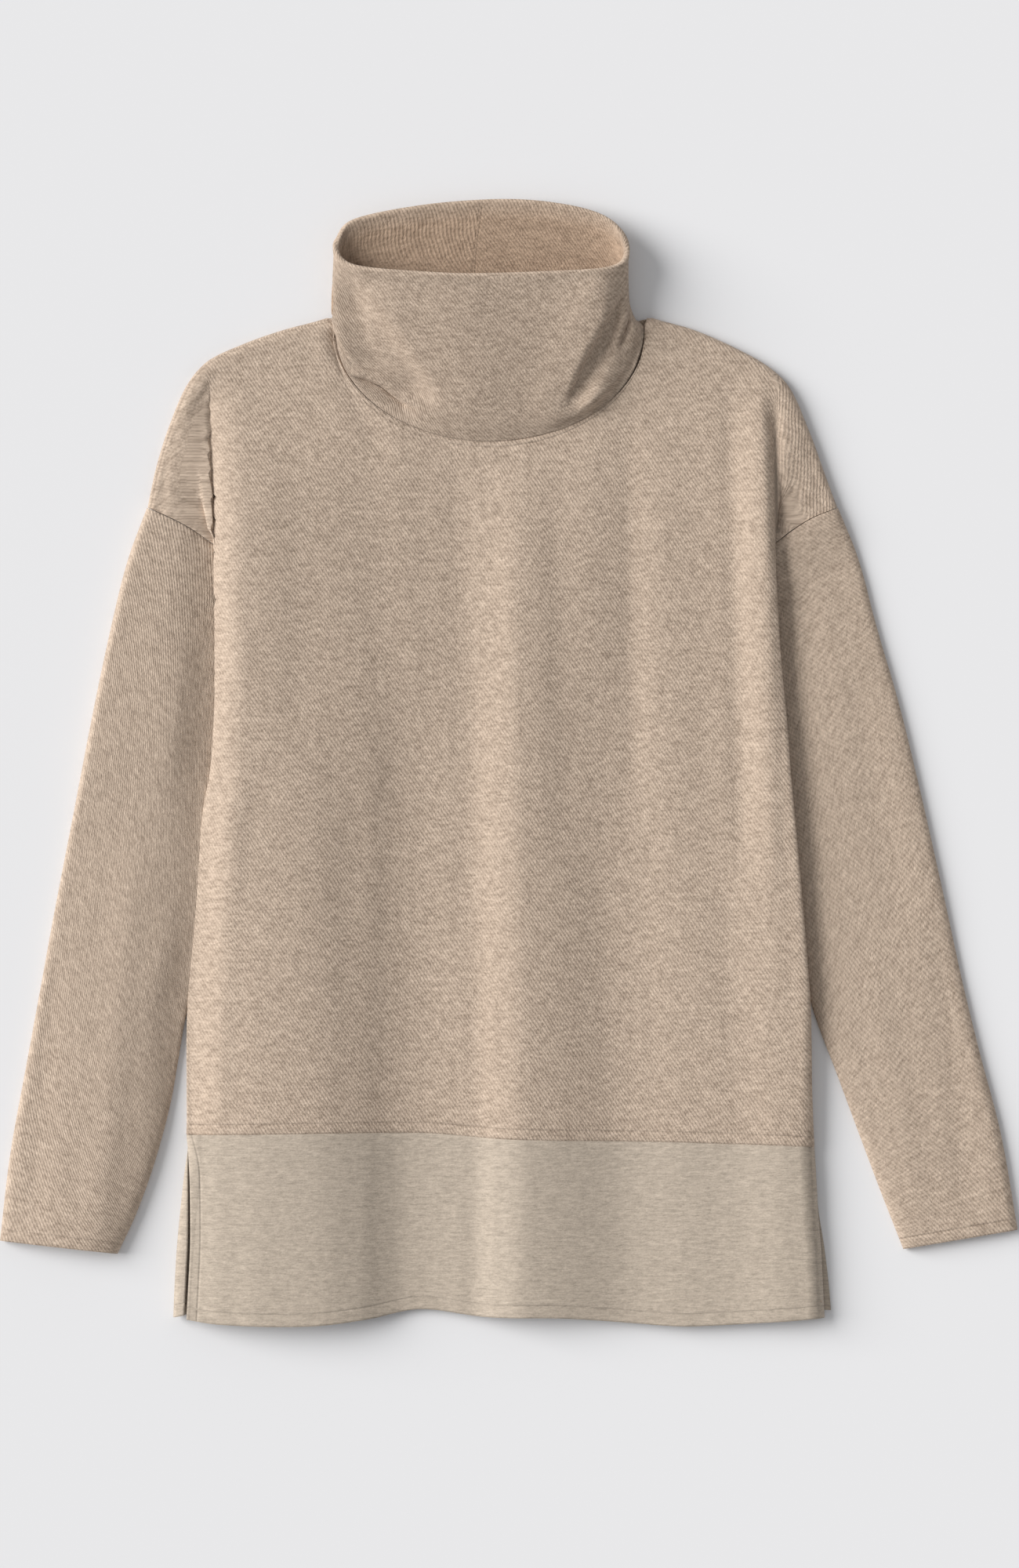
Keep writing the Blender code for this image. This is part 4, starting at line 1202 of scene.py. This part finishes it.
def make_twill_group():
    """Slanting ribs of a double knit: how high each place stands, and how light it is painted, which is
    painted light on the ribs' ridges and painted shade in their grooves.
    """
    inputs = {"Cloth": None, "Spacing": 0.00233, "Slant": 55.0}
    group, given, result = new_group("twill_rib", inputs, ("RibLightAndShade", "Height"))
    split = group.nodes.new("ShaderNodeSeparateXYZ")
    put(group, given.outputs["Cloth"], split.inputs[0])
    x, y = split.outputs["X"], split.outputs["Y"]
    angle = math_node(group, "RADIANS", given.outputs["Slant"])
    sine = math_node(group, "SINE", angle)
    cosine = math_node(group, "COSINE", angle)
    across = plus(group, times(group, x, sine), times(group, y, cosine))
    ahead = math_node(group, "SUBTRACT", times(group, x, cosine), times(group, y, sine))
    wander = noise(group, given.outputs["Cloth"], 45.0, 1.0)
    wobble = noise(group, given.outputs["Cloth"], 500.0, 2.0)
    turns = math_node(group, "DIVIDE", across, given.outputs["Spacing"])
    turns = plus(group, turns, times(group, wander, 0.9))
    turns = plus(group, turns, times(group, wobble, 0.55))
    rib = math_node(group, "COSINE", times(group, turns, math.tau))
    ribbed = group.nodes.new("ShaderNodeCombineXYZ")
    put(group, across, ribbed.inputs["X"])
    put(group, ahead, ribbed.inputs["Y"])
    loops = noise(group, ribbed.outputs[0], 620.0, 2.0, 0.6, (1.5, 0.75, 1.0))
    loops = contrast(group, loops, 2.2)
    rib = math_node(group, "MULTIPLY_ADD", rib, 0.3, 0.5)
    rib = math_node(group, "MULTIPLY_ADD", math_node(group, "SUBTRACT", loops, 0.5), 0.55, rib, clamp=True)
    put(group, rib, result.inputs["RibLightAndShade"])
    put(group, rib, result.inputs["Height"])
    return group


# Noises of the heather yarn: scale, detail, roughness, stretch and contrast
HEATHER_NOISES = {
    "Fleck": (700.0, 3.0, 0.65, None, 3.0),
    "Streak": (400.0, 3.0, 0.62, (0.45, 1.4, 1.0), 3.0),
    "Blotch": (230.0, 2.0, 0.6, (0.75, 1.25, 1.0), 2.6),
    "Drift": (80.0, 2.0, 0.6, (0.7, 1.3, 1.0), 2.4),
}


def make_heather_group():
    """Light and dark fibres of heather yarn: flecks, streaks along the rows, small blotches, wider drifts."""
    group, given, result = new_group("heather_yarn", {"Cloth": None}, HEATHER_NOISES)
    for name, (scale, detail, rough, stretch, gain) in HEATHER_NOISES.items():
        value = noise(group, given.outputs["Cloth"], scale, detail, rough, stretch)
        put(group, contrast(group, value, gain), result.inputs[name])
    return group


def make_jersey_group():
    """Fine level rows of plain jersey, with short streaks of lighter and darker yarn."""
    group, given, result = new_group("jersey_rows", {"Cloth": None}, ("Streak", "Height"))
    cloth_map = given.outputs["Cloth"]
    long_streaks = noise(group, cloth_map, 260.0, 4.0, 0.62, (0.3, 2.4, 1.0))
    short_streaks = noise(group, cloth_map, 620.0, 3.0, 0.6, (0.45, 1.8, 1.0))
    streak = plus(group, times(group, long_streaks, 0.55), times(group, short_streaks, 0.45))
    put(group, contrast(group, streak, 3.2), result.inputs["Streak"])
    put(group, short_streaks, result.inputs["Height"])
    return group


def make_seam_group():
    """Where cloth is pressed down beside a seam and under its stitching, from its distance to the edge; the
    same mask paints shade there.
    """
    inputs = {"Distance": 1.0, "Stitch": 0.0035, "Width": 0.0008}
    group, given, result = new_group("seam_press_and_shade", inputs, ("PressedAndShaded", "Groove"))
    distance = given.outputs["Distance"]
    groove = bell(group, distance, given.outputs["Stitch"], given.outputs["Width"])
    edge = bell(group, distance, 0.0, 0.0006)
    put(group, math_node(group, "ADD", groove, edge, clamp=True), result.inputs["PressedAndShaded"])
    put(group, groove, result.inputs["Groove"])
    return group


TWILL = make_twill_group()
HEATHER = make_heather_group()
JERSEY = make_jersey_group()
SEAM = make_seam_group()


def group_node(tree, group, **values):
    node = tree.nodes.new("ShaderNodeGroup")
    node.node_tree = group
    for name, value in values.items():
        put(tree, value, node.inputs[name])
    return node


def map_node(tree, name):
    node = tree.nodes.new("ShaderNodeUVMap")
    node.uv_map = name
    return node.outputs["UV"]


def new_material(name, finish):
    """A material with the plain values of its finish set on its shader's own sockets."""
    material = bpy.data.materials.new(name)
    material.use_nodes = True
    shader = material.node_tree.nodes["Principled BSDF"]
    for socket_name, value in finish.items():
        shader.inputs[socket_name].default_value = value
    return material, material.node_tree, shader


KNIT_FINISH = {"Roughness": 0.92, "Specular IOR Level": 0.2, "Sheen Weight": 0.08, "Sheen Roughness": 0.6}
# How strongly each pattern lightens and darkens the knits, and how much painted shade darkens them along a
# seam's edge and in the groove of its stitching, where the cloth is pressed down
JERSEY_PARTS = {"Fleck": 0.3, "Blotch": 0.34, "Drift": 0.14}
TWILL_PARTS = {"Fleck": 0.34, "Streak": 0.38, "Blotch": 0.5, "Drift": 0.26}
JERSEY_STREAKS = 0.8
# How strongly the painted light and shade of the ribs changes the twill's colour
TWILL_RIB_LIGHT_AND_SHADE = 0.42
SEAM_SHADE = 0.14


def knit_material(
    name, dark, light, jersey=False, stitch_a=1.0, stitch_b=1.0, line_width=0.0008, press=0.0005, inner=None
):
    """Heather knit with ribs or level rows, pressed down along its stitched edges with painted shade there,
    its ribs given painted light and shade, its inner layer darkened with painted shade.
    """
    material, tree, shader = new_material(name, KNIT_FINISH)
    cloth_map = map_node(tree, "Cloth")
    edges = tree.nodes.new("ShaderNodeSeparateXYZ")
    put(tree, map_node(tree, "Edges"), edges.inputs[0])
    heather = group_node(tree, HEATHER, Cloth=cloth_map)
    press_a = group_node(tree, SEAM, Distance=edges.outputs["X"], Stitch=stitch_a, Width=line_width)
    press_b = group_node(tree, SEAM, Distance=edges.outputs["Y"], Stitch=stitch_b, Width=line_width)
    pressed = math_node(tree, "MAXIMUM", press_a.outputs["PressedAndShaded"], press_b.outputs["PressedAndShaded"])
    if jersey:
        rows = group_node(tree, JERSEY, Cloth=cloth_map)
        parts = [(rows.outputs["Streak"], JERSEY_STREAKS)]
        parts += [(heather.outputs[part], weight) for part, weight in JERSEY_PARTS.items()]
        relief = times(tree, rows.outputs["Height"], 0.0004)
    else:
        twill = group_node(tree, TWILL, Cloth=cloth_map)
        # The ribs' painted light and shade, then the heather patterns of the yarn
        parts = [(twill.outputs["RibLightAndShade"], TWILL_RIB_LIGHT_AND_SHADE)]
        parts += [(heather.outputs[part], weight) for part, weight in TWILL_PARTS.items()]
        relief = times(tree, twill.outputs["Height"], 0.0005)
        relief = math_node(tree, "MULTIPLY_ADD", heather.outputs["Fleck"], 0.00012, relief)
    share = 0.5 - sum(weight for _, weight in parts) / 2
    for value, weight in parts:
        share = math_node(tree, "MULTIPLY_ADD", value, weight, share)
    # Painted shade along the seams' edges and in the grooves of their stitching
    share = math_node(tree, "SUBTRACT", share, times(tree, pressed, SEAM_SHADE), clamp=True)
    colour = colour_between(tree, share, (*dark, 1.0), (*light, 1.0))
    # Painted shade on the inner layer of a doubled piece, darker further in from the rim
    if inner is not None:
        depth = math_node(tree, "DIVIDE", edges.outputs["Y"], INNER_SHADE_FADE, clamp=True)
        painted_inner_shade = colour_between(tree, depth, (1.0, 1.0, 1.0, 1.0), (*inner, 1.0))
        colour = colour_between(tree, 1.0, colour, painted_inner_shade, "MULTIPLY")
    put(tree, colour, shader.inputs["Base Color"])
    bump = tree.nodes.new("ShaderNodeBump")
    bump.inputs["Strength"].default_value = 0.8
    bump.inputs["Distance"].default_value = 1.0
    height = math_node(tree, "SUBTRACT", relief, times(tree, pressed, press))
    put(tree, height, bump.inputs["Height"])
    put(tree, bump.outputs["Normal"], shader.inputs["Normal"])
    return material


def thread_material(name, colour):
    material, tree, shader = new_material(name, {"Roughness": 0.8})
    place = tree.nodes.new("ShaderNodeTexCoord").outputs["Object"]
    strands = noise(tree, place, 1500.0, 2.0, 0.6)
    dark = tuple(c * 0.82 for c in colour)
    put(tree, colour_between(tree, strands, (*dark, 1.0), (*colour, 1.0)), shader.inputs["Base Color"])
    return material


# Distance in metres over which the painted shade of the inner layer fades in from the rim
INNER_SHADE_FADE = 0.02
TWILL_TONES = ((0.350, 0.268, 0.205), (0.710, 0.570, 0.452))
JERSEY_TONES = ((0.380, 0.322, 0.262), (0.656, 0.559, 0.458))
BODY_KNIT = knit_material(
    "body_twill_knit", *TWILL_TONES, stitch_a=NECK_STITCH * MM, stitch_b=WAIST_STITCH * MM
)
SLEEVE_KNIT = knit_material("sleeve_twill_knit", *TWILL_TONES, stitch_b=CUFF_STITCH * MM)
# The collar's inner colour is painted shade inside the funnel
COLLAR_KNIT = knit_material("collar_twill_knit", *TWILL_TONES, press=0.0002, inner=(0.84, 0.765, 0.70))
BAND_KNIT = knit_material(
    "band_jersey_knit", *JERSEY_TONES, jersey=True, stitch_a=SLIT_STITCH * MM, stitch_b=HEM_STITCH * MM
)
THREAD = thread_material("sewing_thread", (0.58, 0.475, 0.380))
BARTACK_THREAD = thread_material("bartack_thread", (0.42, 0.335, 0.262))


def out_from_middle(points):
    """How far each point of a row is from the row's middle, measured over the cloth, with its side's sign."""
    steps = np.linalg.norm(np.diff(points[..., [0, 2]], axis=1), axis=-1)
    far = np.concatenate([np.zeros((len(points), 1)), np.cumsum(steps, axis=1)], axis=1)
    middle = points.shape[1] // 2
    return far - far[:, middle : middle + 1] + points[:, middle : middle + 1, 0]


def down_pleat(j):
    """How far down the left pleat row j of the front is: below 0 above it, and above 1 where it has ended."""
    return (j - PLEAT_ROWS[0]) / (PLEAT_ROWS[1] - PLEAT_ROWS[0])


def fold_column(j):
    """The column, with its fraction, at which row j of the front comes to the fold of its left side."""
    return mix(*PLEAT_COLUMNS, min(max(down_pleat(j), 0.0), 1.0))


def turned_by_pleats(points, cloth_uv):
    """The map of the front, turned round the top of each shoulder pleat where the cloth is beyond it."""
    strip = SIDE_COLUMNS * FINER_COLUMNS + 1
    for sign, (pivot_x, pivot_y, lowest_y, degrees) in PLEAT_TURNS.items():
        if sign < 0:
            columns = np.arange(strip)[::-1]
            last_under = np.array([math.ceil(fold_column(j)) - 1 for j in range(len(points))])
            share = smooth((last_under[:, None] - columns) / TURN_COLUMNS)
        else:
            columns = np.arange(points.shape[1] - strip, points.shape[1])
            out = points[:, columns, 0]
            share = smooth((out - RIGHT_PLEAT_X) / TURN_WIDTH)
            for j, furthest in enumerate(np.argmax(out, axis=1)):
                share[j, furthest + 1 :] = 1.0
        share *= smooth((points[:, columns, 1] - lowest_y) / TURN_FADE)
        angle = np.radians(degrees) * share
        u = cloth_uv[:, columns, 0] - pivot_x
        v = cloth_uv[:, columns, 1] - pivot_y
        cloth_uv[:, columns, 0] = pivot_x + u * np.cos(angle) - v * np.sin(angle)
        cloth_uv[:, columns, 1] = pivot_y + u * np.sin(angle) + v * np.cos(angle)


def read_at(table, at):
    """The further columns of a table, each read in straight runs where its first column has these values."""
    keys = np.array(table)
    return [np.interp(at, keys[:, 0], keys[:, column]) for column in range(1, keys.shape[1])]


def rolled_side(points):
    """Rolls the left side of the body down to its edge, below the shoulder's pleat."""
    y = points[..., 1]
    edge, depth, width = read_at(LEFT_ROLL, y)
    roll = depth * (1 - smooth((points[..., 0] - edge) / width))
    roll *= np.clip((points[..., 2] - UNROLLED_LEVEL) / ROLLED_RISE, 0, 1)
    points[..., 2] -= roll * smooth((ROLL_ENDS_Y - y) / ROLL_FADE)


def sloped_to_fold(points):
    """Slopes the top layer of the cap or the sleeve down to the fold of the body's left side."""
    y = points[..., 1]
    fold_x, _, below = read_at(LEFT_FOLD, y)
    wanted = below + read_at(SLOPE_TO_FOLD, fold_x - points[..., 0])[0]
    hold = smooth((points[..., 2] - TOP_LAYER_LEVEL) / TOP_LAYER_RISE)
    fade = smooth((y - SLOPE_STARTS_Y) / SLOPE_FADE_BELOW) * smooth((SLOPE_ENDS_Y - y) / SLOPE_FADE_ABOVE)
    points[..., 2] += (wanted - PLAIN_CAP_LEVEL) * hold * fade


def fold_roll_drop(level, edge, inside):
    """How much lower than the level body its roll is, from the fold, where inside is 0, to where it is 1."""
    return np.maximum(level - edge, 0) * (1 - inside) ** FOLD_ROLL_POWER


def folded_over(points):
    """Lays the body's left side over the cap and the sleeve, with a soft roll down to its fold."""
    for j, row in enumerate(points):
        down = down_pleat(j)
        y = row[round(fold_column(j)), 1]
        share = smooth((y - FOLD_STARTS_Y) / FOLD_FADE_BELOW) * smooth((FOLD_ENDS_Y - y) / FOLD_FADE_ABOVE)
        if share <= 0:
            continue
        first = math.ceil(fold_column(j))
        new = row.copy()
        fold_x, edge, below = read_at(LEFT_FOLD, row[:, 1])

        # The cap slopes down to the fold and runs on below it
        if down < 1:
            cap = slice(TUCKED_COLUMN + 1)
            sloped = row[cap].copy()
            sloped_to_fold(sloped)
            low = np.where(sloped[:, 0] > fold_x[cap], below[cap], sloped[:, 2])
            new[cap, 2] = mix(low, row[cap, 2], max(down, 0.0))
        hidden = slice(first)
        if j >= PLEAT_ROWS[0] - HIDDEN_ROWS_ABOVE:
            inward = np.maximum(fold_x[hidden] + HIDDEN_INSET - new[hidden, 0], 0)
            if down < CAP_PART_OF_PLEAT:
                inward *= smooth((CAP_END_Y - new[hidden, 1]) / CAP_END_FADE)
            new[hidden, 0] += inward

        # The body's top layer starts at the fold and rolls up to its own level
        shown = np.arange(first, LEVEL_COLUMN)
        x = mix(fold_x[shown], row[LEVEL_COLUMN, 0], (shown - first) / (LEVEL_COLUMN - first))
        body_x, body_z = row[PLEAT_COLUMNS[0] :, 0], row[PLEAT_COLUMNS[0] :, 2]
        level = np.interp(fold_x[shown] + FOLD_ROLL_WIDTH, body_x, body_z)
        inside = np.clip((x - fold_x[shown]) / FOLD_ROLL_WIDTH, 0, 1)
        rolled_z = level - fold_roll_drop(level, edge[shown], inside)
        new[shown, 0] = x
        new[shown, 2] = np.where(inside < 1, rolled_z, np.interp(x, body_x, body_z))

        # The cloth turns under at the fold, and the hidden layer keeps below the roll
        if down > 0:
            back = np.array([1, 2])
            new[first - back, 0] = fold_x[first - back] + FOLD_TURN_IN * back
            new[first - back, 2] = edge[first - back] - FOLD_TURN_DOWN * back
            inside = np.clip((new[hidden, 0] - fold_x[hidden]) / FOLD_ROLL_WIDTH, 0, 1)
            roll = level[0] - fold_roll_drop(level[0], edge[first], inside)
            lowered = np.minimum(new[hidden, 2], roll - HIDDEN_DROP)
            new[hidden, 2] = np.where(inside > 0, lowered, new[hidden, 2])
        turn = np.arange(TUCKED_COLUMN + 1, first)
        if len(turn):
            part = ((turn - TUCKED_COLUMN) / (first - TUCKED_COLUMN))[:, None]
            new[np.ix_(turn, [0, 2])] = mix(new[TUCKED_COLUMN, [0, 2]], new[first, [0, 2]], part)
        points[j] = mix(row, new, share)


def make_front():
    points = finer_grid(front_sections(), 5, FINER_COLUMNS)
    columns = points.shape[1]
    shoulders = [np.abs(beside_line(points, line)[0]) for line in SHOULDER_FINE]
    from_top = length_along(points, 0)
    from_left = length_along(points, 1)
    from_sides = np.minimum(from_left, from_left[:, -1:] - from_left)
    hold = smooth((np.minimum(*shoulders) - 2) / 12) * np.clip(from_top / 8, 0, 1)
    creased(points, FRONT_CREASES, hold * np.clip(from_sides / 14, 0, 1))
    rolled_side(points)
    folded_over(points)
    from_waist = length_along(points, 0)
    from_waist = from_waist[-1:] - from_waist
    first = (SIDE_COLUMNS + SHOULDER_STEPS) * FINER_COLUMNS
    neck = np.zeros(columns, dtype=bool)
    neck[first : columns - first] = True
    neck_edge = points[:2, neck].copy()
    drawn_out(neck_edge, COVER_SEAM)
    points[0, neck] = neck_edge[0]
    drawn_out(points[::-1], COVER_SEAM / 3)
    from_seam = np.where(neck[None, :], from_top, FAR_FROM_SEAM)
    from_seam = np.minimum(from_seam, shoulders[0] + 1.2)
    cloth_uv = two(out_from_middle(points), points[..., 1])
    turned_by_pleats(points, cloth_uv)
    edges = two(from_seam, from_waist)
    piece = cloth_sheet("front", points, cloth_uv, edges, BODY_KNIT, TWILL_THICKNESS, up=False)
    neck_line = line_from_edge(points[:, neck], NECK_STITCH, TWILL_THICKNESS)
    waist_line = line_from_edge(points[::-1], WAIST_STITCH, TWILL_THICKNESS, -1.0)
    return piece, neck_line, waist_line


def make_back():
    points = finer_grid(back_sections(), 2, 3)
    from_top = length_along(points, 0)
    edges = two(from_top + FAR_FROM_SEAM, from_top[-1:] - from_top)
    cloth_uv = two(out_from_middle(points), points[..., 1])
    return cloth_sheet("back", points, cloth_uv, edges, BODY_KNIT, TWILL_THICKNESS, up=False)


def make_sleeve(name, sign, table, creases):
    points = finer_grid(sleeve_sections(sign, table), 6, 3, closed=True)
    drawn_out(points, SLEEVE_COVER)
    width = points[:, :, 0].max(axis=1, keepdims=True) - points[:, :, 0].min(axis=1, keepdims=True)
    down = length_along(points, 0)
    lower = 1 - (1 - SLEEVE_FLATTENED[sign]) * smooth(down / SLEEVE_FLATTENS_OVER)
    points[..., 2] = TABLE_LEVEL + (points[..., 2] - TABLE_LEVEL) * lower
    top_layer = smooth((points[..., 2] - TABLE_LEVEL - 1.2) / 2.5)
    if sign < 0:
        sloped_to_fold(points)
    else:
        above = np.maximum(points[..., 2] - RIGHT_SLEEVE_LEVEL, 0)
        points[..., 2] -= above * RIGHT_SLEEVE_PRESSED * smooth((down - 4.0) / 50)
    level = points[..., 2].copy()
    creased(points, creases, top_layer * np.clip(down / 10, 0, 1) * np.minimum(width / 60, 1))
    lowest = np.minimum(level, TABLE_LEVEL + TWILL_THICKNESS + 0.6)
    points[..., 2] = np.maximum(points[..., 2], lowest)
    around = length_along(points, 1) * -sign
    mean_down = np.broadcast_to(down.mean(axis=1, keepdims=True), around.shape)
    edges = two(down + FAR_FROM_SEAM, down[-1:] - down)
    piece = cloth_sheet(
        name, points, two(around, -mean_down), edges, SLEEVE_KNIT, TWILL_THICKNESS, closed=True, up=sign > 0
    )
    ring = np.concatenate([points[::-1], points[::-1, :1]], axis=1)
    return piece, line_from_edge(ring, CUFF_STITCH, TWILL_THICKNESS, sign)


def make_collar():
    """The doubled collar: its outer layer up from the seam, the folded rim, and its inner layer down."""
    middle = finer_grid(collar_sections(), 6, 8, closed=True)
    columns = middle.shape[1]
    seam = int((CENTRE_BACK_ANGLE + 180) / 360 * columns)
    middle = np.roll(middle, -seam, axis=1)
    angle = (CENTRE_BACK_ANGLE + 360 * np.arange(columns) / columns + 180) % 360 - 180
    in_front = smooth((angle + 180) / 12) * (1 - smooth((angle + 6) / 10)) * (angle < 5)
    drawn_out(middle, COVER_SEAM / 2)
    up = length_along(middle, 0)
    to_rim = up[-1:] - up
    hold = in_front[None, :] * smooth(up / 9) * smooth(to_rim / 16 + 0.2)
    creased(middle, COLLAR_SWELLS, hold)
    dropped(middle, COLLAR_DROPS, hold)
    wrapped = np.concatenate([middle[:, -1:], middle, middle[:, :1]], axis=1)
    normals = top_normals(wrapped)[:, 1:-1]
    half = (COLLAR_THICKNESS + RIM_SWELL * smooth(1 - to_rim / 9.0)[..., None]) / 2
    outer = middle + normals * half
    inner = middle - normals * half
    rim_up = middle[-1] - middle[-3]
    rim_up /= np.linalg.norm(rim_up, axis=-1, keepdims=True)
    arc = []
    for step in range(1, RIM_STEPS):
        turn = math.pi * step / RIM_STEPS
        arc.append(middle[-1] + half[-1] * (normals[-1] * math.cos(turn) + rim_up * math.sin(turn)))
    points = np.concatenate([outer, arc, inner[::-1], outer[:1]])
    around = length_along(middle, 1)
    around = np.concatenate([around, np.repeat(around[-1:], len(arc), axis=0), around[::-1], around[:1]])
    climb = length_along(points, 0)
    climb -= climb[len(outer) - 1]
    cloth_uv = two(around - around[:, columns // 2, None], climb)
    from_seam = np.minimum(around, around[:, -1:] - around)
    edges = two(from_seam, np.maximum(climb, 0.0))
    mesh = cloth_mesh("collar_doubled", points, cloth_uv, edges, COLLAR_KNIT, closed=True)
    shape = bmesh.new()
    shape.from_mesh(mesh)
    bmesh.ops.remove_doubles(shape, verts=shape.verts, dist=1e-6)
    bmesh.ops.recalc_face_normals(shape, faces=shape.faces)
    shape.to_mesh(mesh)
    shape.free()
    return placed("collar_doubled", mesh)


def make_band(name, sections, up, flip, creases):
    points = finer_grid(sections, 8, 4)
    drawn_out(points, COVER_SEAM / 3)
    from_left = length_along(points, 1)
    from_side = np.minimum(from_left, from_left[:, -1:] - from_left)
    creased(points, creases, np.clip(from_side / 16, 0, 1))
    from_top = length_along(points, 0)
    cloth_uv = two(out_from_middle(points), points[..., 1])
    edges = two(from_side, from_top[-1:] - from_top)
    piece = cloth_sheet(name, points, cloth_uv, edges, BAND_KNIT, BAND_THICKNESS, up=up)
    hem_line = line_from_edge(points[::-1], HEM_STITCH, BAND_THICKNESS, -flip)
    left_line = line_from_edge(points.transpose(1, 0, 2), SLIT_STITCH, BAND_THICKNESS, -flip)
    right_line = line_from_edge(points[:, ::-1].transpose(1, 0, 2), SLIT_STITCH, BAND_THICKNESS, flip)
    return piece, [hem_line, left_line, right_line]


def bartack_line(side_line):
    """A short line across a side's stitching, near the hem, for the bar of thread that ends the slit."""
    line, lifts = side_line
    k = int(len(line) * 0.9)
    across = np.array([1.0, 0.0, 0.0])
    return np.array([line[k] - across * 3.6, line[k] + across * 3.6]), np.array([lifts[k], lifts[k]])


front, neck_line, waist_line = make_front()
back = make_back()
left_sleeve, left_cuff = make_sleeve("left_sleeve", -1, SLEEVE_LEFT, LEFT_SLEEVE_CREASES)
right_sleeve, right_cuff = make_sleeve("right_sleeve", 1, SLEEVE_RIGHT, RIGHT_SLEEVE_CREASES)
collar_piece = make_collar()
front_band, front_band_lines = make_band("front_hem_band", front_band_sections(), False, 1.0, BAND_CREASES)
back_band, back_band_lines = make_band("back_hem_band", back_band_sections(), True, -1.0, [])

neck_stitches = stitches("neck_topstitch", [neck_line], THREAD)
waist_stitches = stitches("waist_topstitch", [waist_line], THREAD)
left_cuff_stitches = stitches("left_cuff_stitches", [left_cuff], THREAD)
right_cuff_stitches = stitches("right_cuff_stitches", [right_cuff], THREAD)
front_band_stitches = stitches("front_band_stitches", front_band_lines, THREAD)
back_band_stitches = stitches("back_band_stitches", back_band_lines, THREAD)
bartack = stitches("slit_bartack", [bartack_line(front_band_lines[2])], BARTACK_THREAD, 0.7, 0.8, 1.8, 0.6)

PIECES = [
    # piece, node, slot, flat width and length in metres, what it lies on, what is sewn on it
    (front, "front_panel", "twill_knit", (0.62, 0.61), ["back_panel"], [neck_stitches, waist_stitches]),
    (back, "back_panel", "twill_knit", (0.51, 0.61), [], []),
    (left_sleeve, "sleeve_left", "twill_knit", (0.37, 0.55), [], [left_cuff_stitches]),
    (right_sleeve, "sleeve_right", "twill_knit", (0.37, 0.55), [], [right_cuff_stitches]),
    (collar_piece, "collar", "collar_knit", (0.50, 0.13), ["front_panel", "back_panel"], []),
    (front_band, "hem_band_front", "jersey_knit", (0.48, 0.136), ["hem_band_back"],
     [front_band_stitches, bartack]),
    (back_band, "hem_band_back", "jersey_knit", (0.50, 0.128), [], [back_band_stitches]),
]


def area_of(piece):
    """The area that a piece covers, in square metres. A doubled piece has both its faces in its mesh."""
    total = sum(face.area for face in piece.data.polygons)
    return total if piece.modifiers else total / 2


for piece, node, slot_name, flat, under, sewn in PIECES:
    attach(piece, "root")
    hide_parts(node)
    area = area_of(piece)
    width, length = flat
    if area > width * length:
        length = area / width * 1.001


def make_floor():
    mesh = bpy.data.meshes.new("floor")
    half = 3.0
    corners = [(-half, -half, 0), (half, -half, 0), (half, half, 0), (-half, half, 0)]
    mesh.from_pydata(corners, [], [(0, 1, 2, 3)])
    floor = placed("floor", mesh)
    floor.location.z = -0.0002
    finish = {"Base Color": (0.864, 0.870, 0.892, 1.0), "Roughness": 0.9, "Specular IOR Level": 0.1}
    mesh.materials.append(new_material("pale_surface", finish)[0])


def make_light():
    world = bpy.data.worlds.new("room")
    world.use_nodes = True
    background = world.node_tree.nodes["Background"]
    background.inputs["Color"].default_value = (1.0, 1.0, 1.0, 1.0)
    background.inputs["Strength"].default_value = 0.38
    bpy.context.scene.world = world
    bpy.context.scene.view_settings.view_transform = "Standard"
    lamp = bpy.data.lights.new("window_light", "SUN")
    lamp.energy = 3.70
    lamp.angle = math.radians(42)
    lamp.color = (1.0, 0.985, 0.965)
    light = placed("window_light", lamp)
    light.rotation_euler = Vector((1.0, -0.30, -0.56)).to_track_quat("-Z", "Y").to_euler()


def make_camera():
    lens = bpy.data.cameras.new("camera")
    lens.sensor_fit = "VERTICAL"
    lens.sensor_height = 24.0
    lens.lens = 24.0 * 6.0 / 1.16
    lens.clip_end = 20.0
    camera = placed("camera", lens)
    camera.location = (0.0, -0.01392, 6.0)
    bpy.context.scene.camera = camera


make_floor()
make_light()
make_camera()
